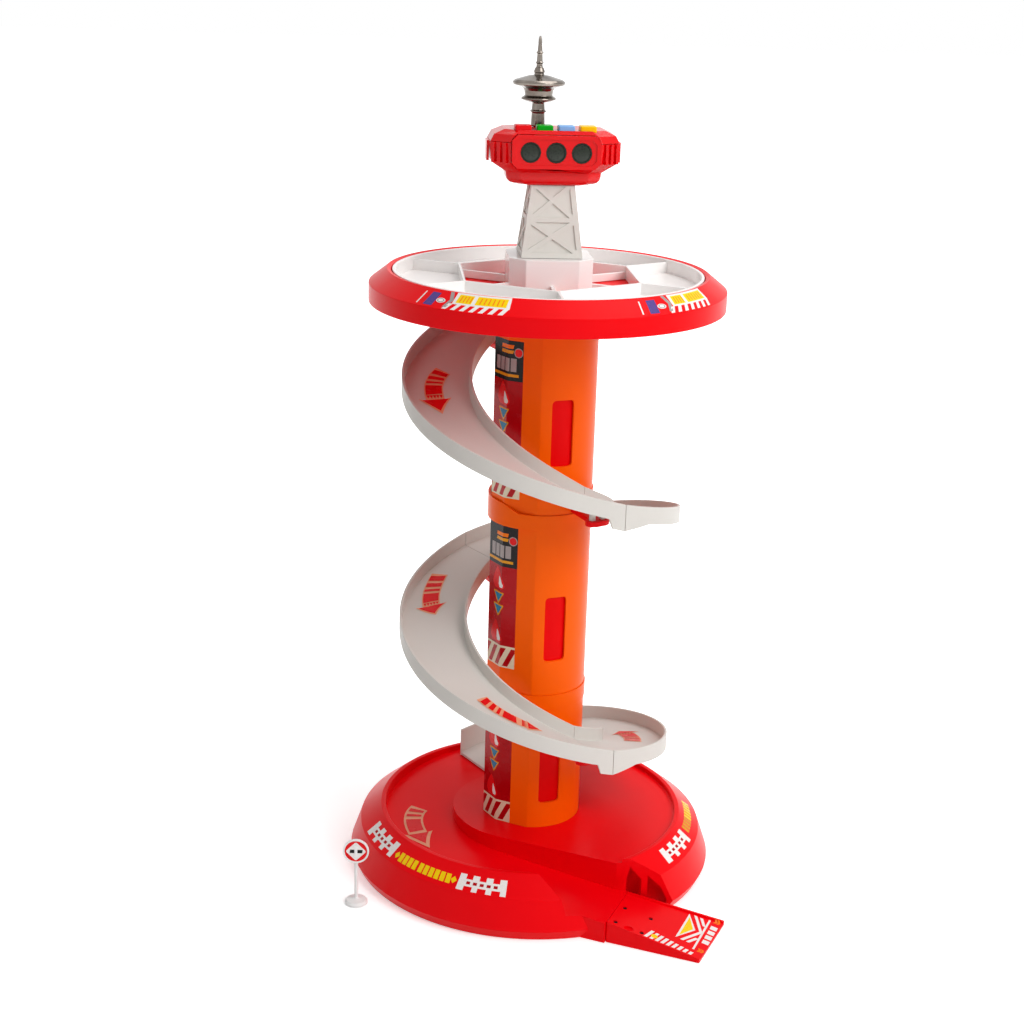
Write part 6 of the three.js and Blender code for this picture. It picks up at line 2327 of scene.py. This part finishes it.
        patches = [
            Patch(white, [(160.6, 57), (171.2, 75.6), (160.6, 94.6)]),
            Patch(yellow, [(162.2, 61.4), (169.2, 75.6), (162.2, 90.2)], 2),
            box_patch(white, (176.2, 54.6), (177.8, 100.7)),
        ]
        for side in (-1, 1):
            for start, end in (((164.4, 19.2), (174.4, 0)), ((169.2, 19.2), (174.2, 9.6))):
                near, far = 75.6 + side * start[1], 75.6 + side * end[1]
                outline = [(start[0], near), (start[0] + 2.6, near), (end[0] + 2.6, far), (end[0], far)]
                patches.append(Patch(white, outline))
        patches += [box_patch(white, (180.0, across), (185.4, across + 5.2)) for across in (61.0, 68.4, 75.8, 83.2)]
        for across in (51.6, 97.0):
            for shift in (0, 2.4):
                mark = [(179.8 + shift, across), (181.6 + shift, across), (183 + shift, across + 2.3)]
                mark += [(181.6 + shift, across + 4.6), (179.8 + shift, across + 4.6), (181.2 + shift, across + 2.3)]
                patches.append(Patch(Finish.INK_ORANGE, mark, 1))
        for step in range(9):
            along, low = 142.6 + step * 4.2, 99.0 + step * 0.75
            patches.append(box_patch(white, (along, low), (along + 2.6, 110.4), -0.27 * (110.4 - low)))
        patches.append(Patch(yellow, circle(2.6, 20, 146.8, 105), 2))
        Label("print_exit", spot, (8, 8), ground="exit_plate_moulding").press(patches)

    def sign_face(self) -> None:
        """Lays the sign's red ring, white square on its corner and plain black bar."""
        sign = RoadSign()
        face = facing(0, sign.x, sign.y, sign.centre)

        def spot(across: float, up: float) -> Spot:
            """Gives the point of the sign's face."""
            return face @ Vector((across, up, sign.back + sign.face)), Vector((0, -1, 0))

        square = softened([(0, -8.3), (8.3, 0), (0, 8.3), (-8.3, 0)], 1.6, 4)
        patches = [
            Patch(Finish.INK_RED, circle(8.9, 56)),
            Patch(Finish.INK_WHITE, square, 2),
            box_patch(Finish.INK_BLACK, (-5, -1.5), (5, 1.5), 0.4, 3),
        ]
        Label("print_sign", spot, (60, 60)).press(patches)

    def build(self) -> None:
        """Lays all the labels."""
        for place in range(3):
            self.column_strip(place)
        for arrow in self.arrows:
            arrow.build()
        self.deck_sticker()
        self.base_bands()
        self.exit_prints()
        self.sign_face()


class InnerWorks:
    """Hidden pieces of the pod and the small screws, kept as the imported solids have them."""

    finishes = {
        Finish.BOARD: ("circuit_board",),
        Finish.BLACK: ("speaker", "battery_holder"),
        Finish.STEEL: (
            "cell_1", "cell_2", "cell_3", "door_screw",
            "board_screw_left", "board_screw_right", "mast_screw_left", "mast_screw_right",
        ),
    }  # fmt: skip

    def build(self) -> None:
        """Dresses each of them through its object's material slot."""
        for finish, nodes in self.finishes.items():
            for name in nodes:
                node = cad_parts[name]
                if not node.material_slots:
                    node.data.materials.append(finish.material)
                for place in node.material_slots:
                    place.link = "OBJECT"
                    place.material = finish.material
                LOG.info("%s: dressed as packed", name)


@dataclass
class Studio:
    """Pale floor, soft lamps, plain surroundings and the camera."""

    floor: float = 30.0
    fade: Pair = (0.2, 0.42)
    paper_glow: float = 0.42
    air: float = 0.4
    lens: float = 61.3
    camera_place: Triple = (-0.0243, -1.3362, 0.7253)
    pitch: float = 17.62
    yaw: float = -0.08
    roll: float = 1.69
    lamps: tuple[tuple[str, float, float, float, float, float], ...] = (
        ("key", 50.0, 36.0, 2.6, 1.9, 44.0),
        ("fill", -48.0, 22.0, 2.6, 2.0, 2.4),
        ("top", 150.0, 68.0, 2.4, 1.6, 19.0),
    )

    @staticmethod
    def reckoned(tree: bpy.types.NodeTree, operation: str, first: Socket, second: Socket) -> Socket:
        """Works one value out of two.

        Args:
            tree: The nodes that it is added to.
            operation: MAXIMUM or MULTIPLY.
            first: One value.
            second: The other value.

        Returns:
            The result.
        """
        node = tree.nodes.new("ShaderNodeMath")
        node.operation = operation
        for place, value in enumerate((first, second)):
            tree.links.new(value, node.inputs[place])
        return node.outputs[0]

    def ground(self) -> None:
        """Lays the floor, which shows white to the camera where nothing shades it."""
        Bench.rest()
        bpy.ops.mesh.primitive_plane_add(size=self.floor, location=(0, 0, -0.0004))
        floor = bpy.context.object
        floor.name = "studio_floor"
        bpy.ops.object.transform_apply(location=True)
        pen = Nodes("studio_paper")
        diffuse = pen.add("BsdfDiffuse", Color=(0.94, 0.94, 0.94, 1))
        near, far = self.fade
        reach = pen.add("VectorMath", Vector=pen.coords)
        reach.operation = "LENGTH"
        pale = pen.ranged(reach.outputs["Value"], self.paper_glow, 1.0, near, far)
        path = pen.add("LightPath").outputs
        seen = self.reckoned(pen.tree, "MAXIMUM", path["Is Camera Ray"], path["Is Glossy Ray"])
        white = pen.add("Emission", Strength=self.reckoned(pen.tree, "MULTIPLY", pale, seen))
        both = pen.add("AddShader")
        pen.tree.links.new(diffuse.outputs[0], both.inputs[0])
        pen.tree.links.new(white.outputs[0], both.inputs[1])
        floor.data.materials.append(pen.finish(both))

    def surroundings(self) -> None:
        """Fills the world with an even light, plain white behind the object."""
        world = bpy.data.worlds.new("studio_air")
        bpy.context.scene.world = world
        world.use_nodes = True
        tree = world.node_tree
        tree.nodes.clear()
        path = tree.nodes.new("ShaderNodeLightPath")
        light = tree.nodes.new("ShaderNodeBackground")
        light.inputs[0].default_value = (1, 1, 1, 1)
        light.inputs[1].default_value = self.air
        plain = tree.nodes.new("ShaderNodeBackground")
        plain.inputs[0].default_value = (1, 1, 1, 1)
        plain.inputs[1].default_value = 1.0
        share = path.outputs["Is Camera Ray"]
        for kind in ("Is Glossy Ray", "Is Transmission Ray"):
            share = self.reckoned(tree, "MAXIMUM", share, path.outputs[kind])
        mix = tree.nodes.new("ShaderNodeMixShader")
        output = tree.nodes.new("ShaderNodeOutputWorld")
        tree.links.new(share, mix.inputs[0])
        tree.links.new(light.outputs[0], mix.inputs[1])
        tree.links.new(plain.outputs[0], mix.inputs[2])
        tree.links.new(mix.outputs[0], output.inputs[0])

    def lights(self) -> None:
        """Hangs the soft lamps round the object."""
        target = Vector((0, 0, 0.3))
        for name, azimuth, elevation, distance, size, power in self.lamps:
            data = bpy.data.lights.new(name, "AREA")
            data.shape = "DISK"
            data.size = size
            data.energy = power
            lamp = Bench.added(name, data)
            rise = math.radians(elevation)
            place = polar(distance * math.cos(rise), azimuth, distance * math.sin(rise))
            lamp.location = target + place
            lamp.rotation_euler = (-place).to_track_quat("-Z", "Y").to_euler()

    def camera(self) -> None:
        """Stands the camera where the photographer stood."""
        data = bpy.data.cameras.new("camera")
        data.lens = self.lens
        data.sensor_width = 36
        data.clip_start = 0.05
        data.clip_end = 20
        camera = Bench.added("camera", data)
        tilt = Matrix.Rotation(math.radians(90 - self.pitch), 4, "X")
        camera.matrix_world = moved(*self.camera_place) @ about(self.yaw) @ tilt @ about(self.roll)
        bpy.context.scene.camera = camera

    def build(self) -> None:
        """Sets up the studio."""
        bpy.context.scene.view_settings.view_transform = "Standard"
        self.ground()
        self.surroundings()
        self.lights()
        self.camera()


def main() -> None:
    """Builds the sub-assemblies in order."""
    logging.basicConfig(level=logging.INFO, format="%(name)s %(message)s")
    Studio().build()
    lower = (Base, RoadSign, Column, Brackets, Channels, Lift, Deck)
    upper = (ParkingWheel, Bearing, Mast, Pod, Antenna, InnerWorks, Prints)
    for assembly in (*lower, *upper):
        assembly().build()
    Bench.rest()


if __name__ == "__main__":
    main()
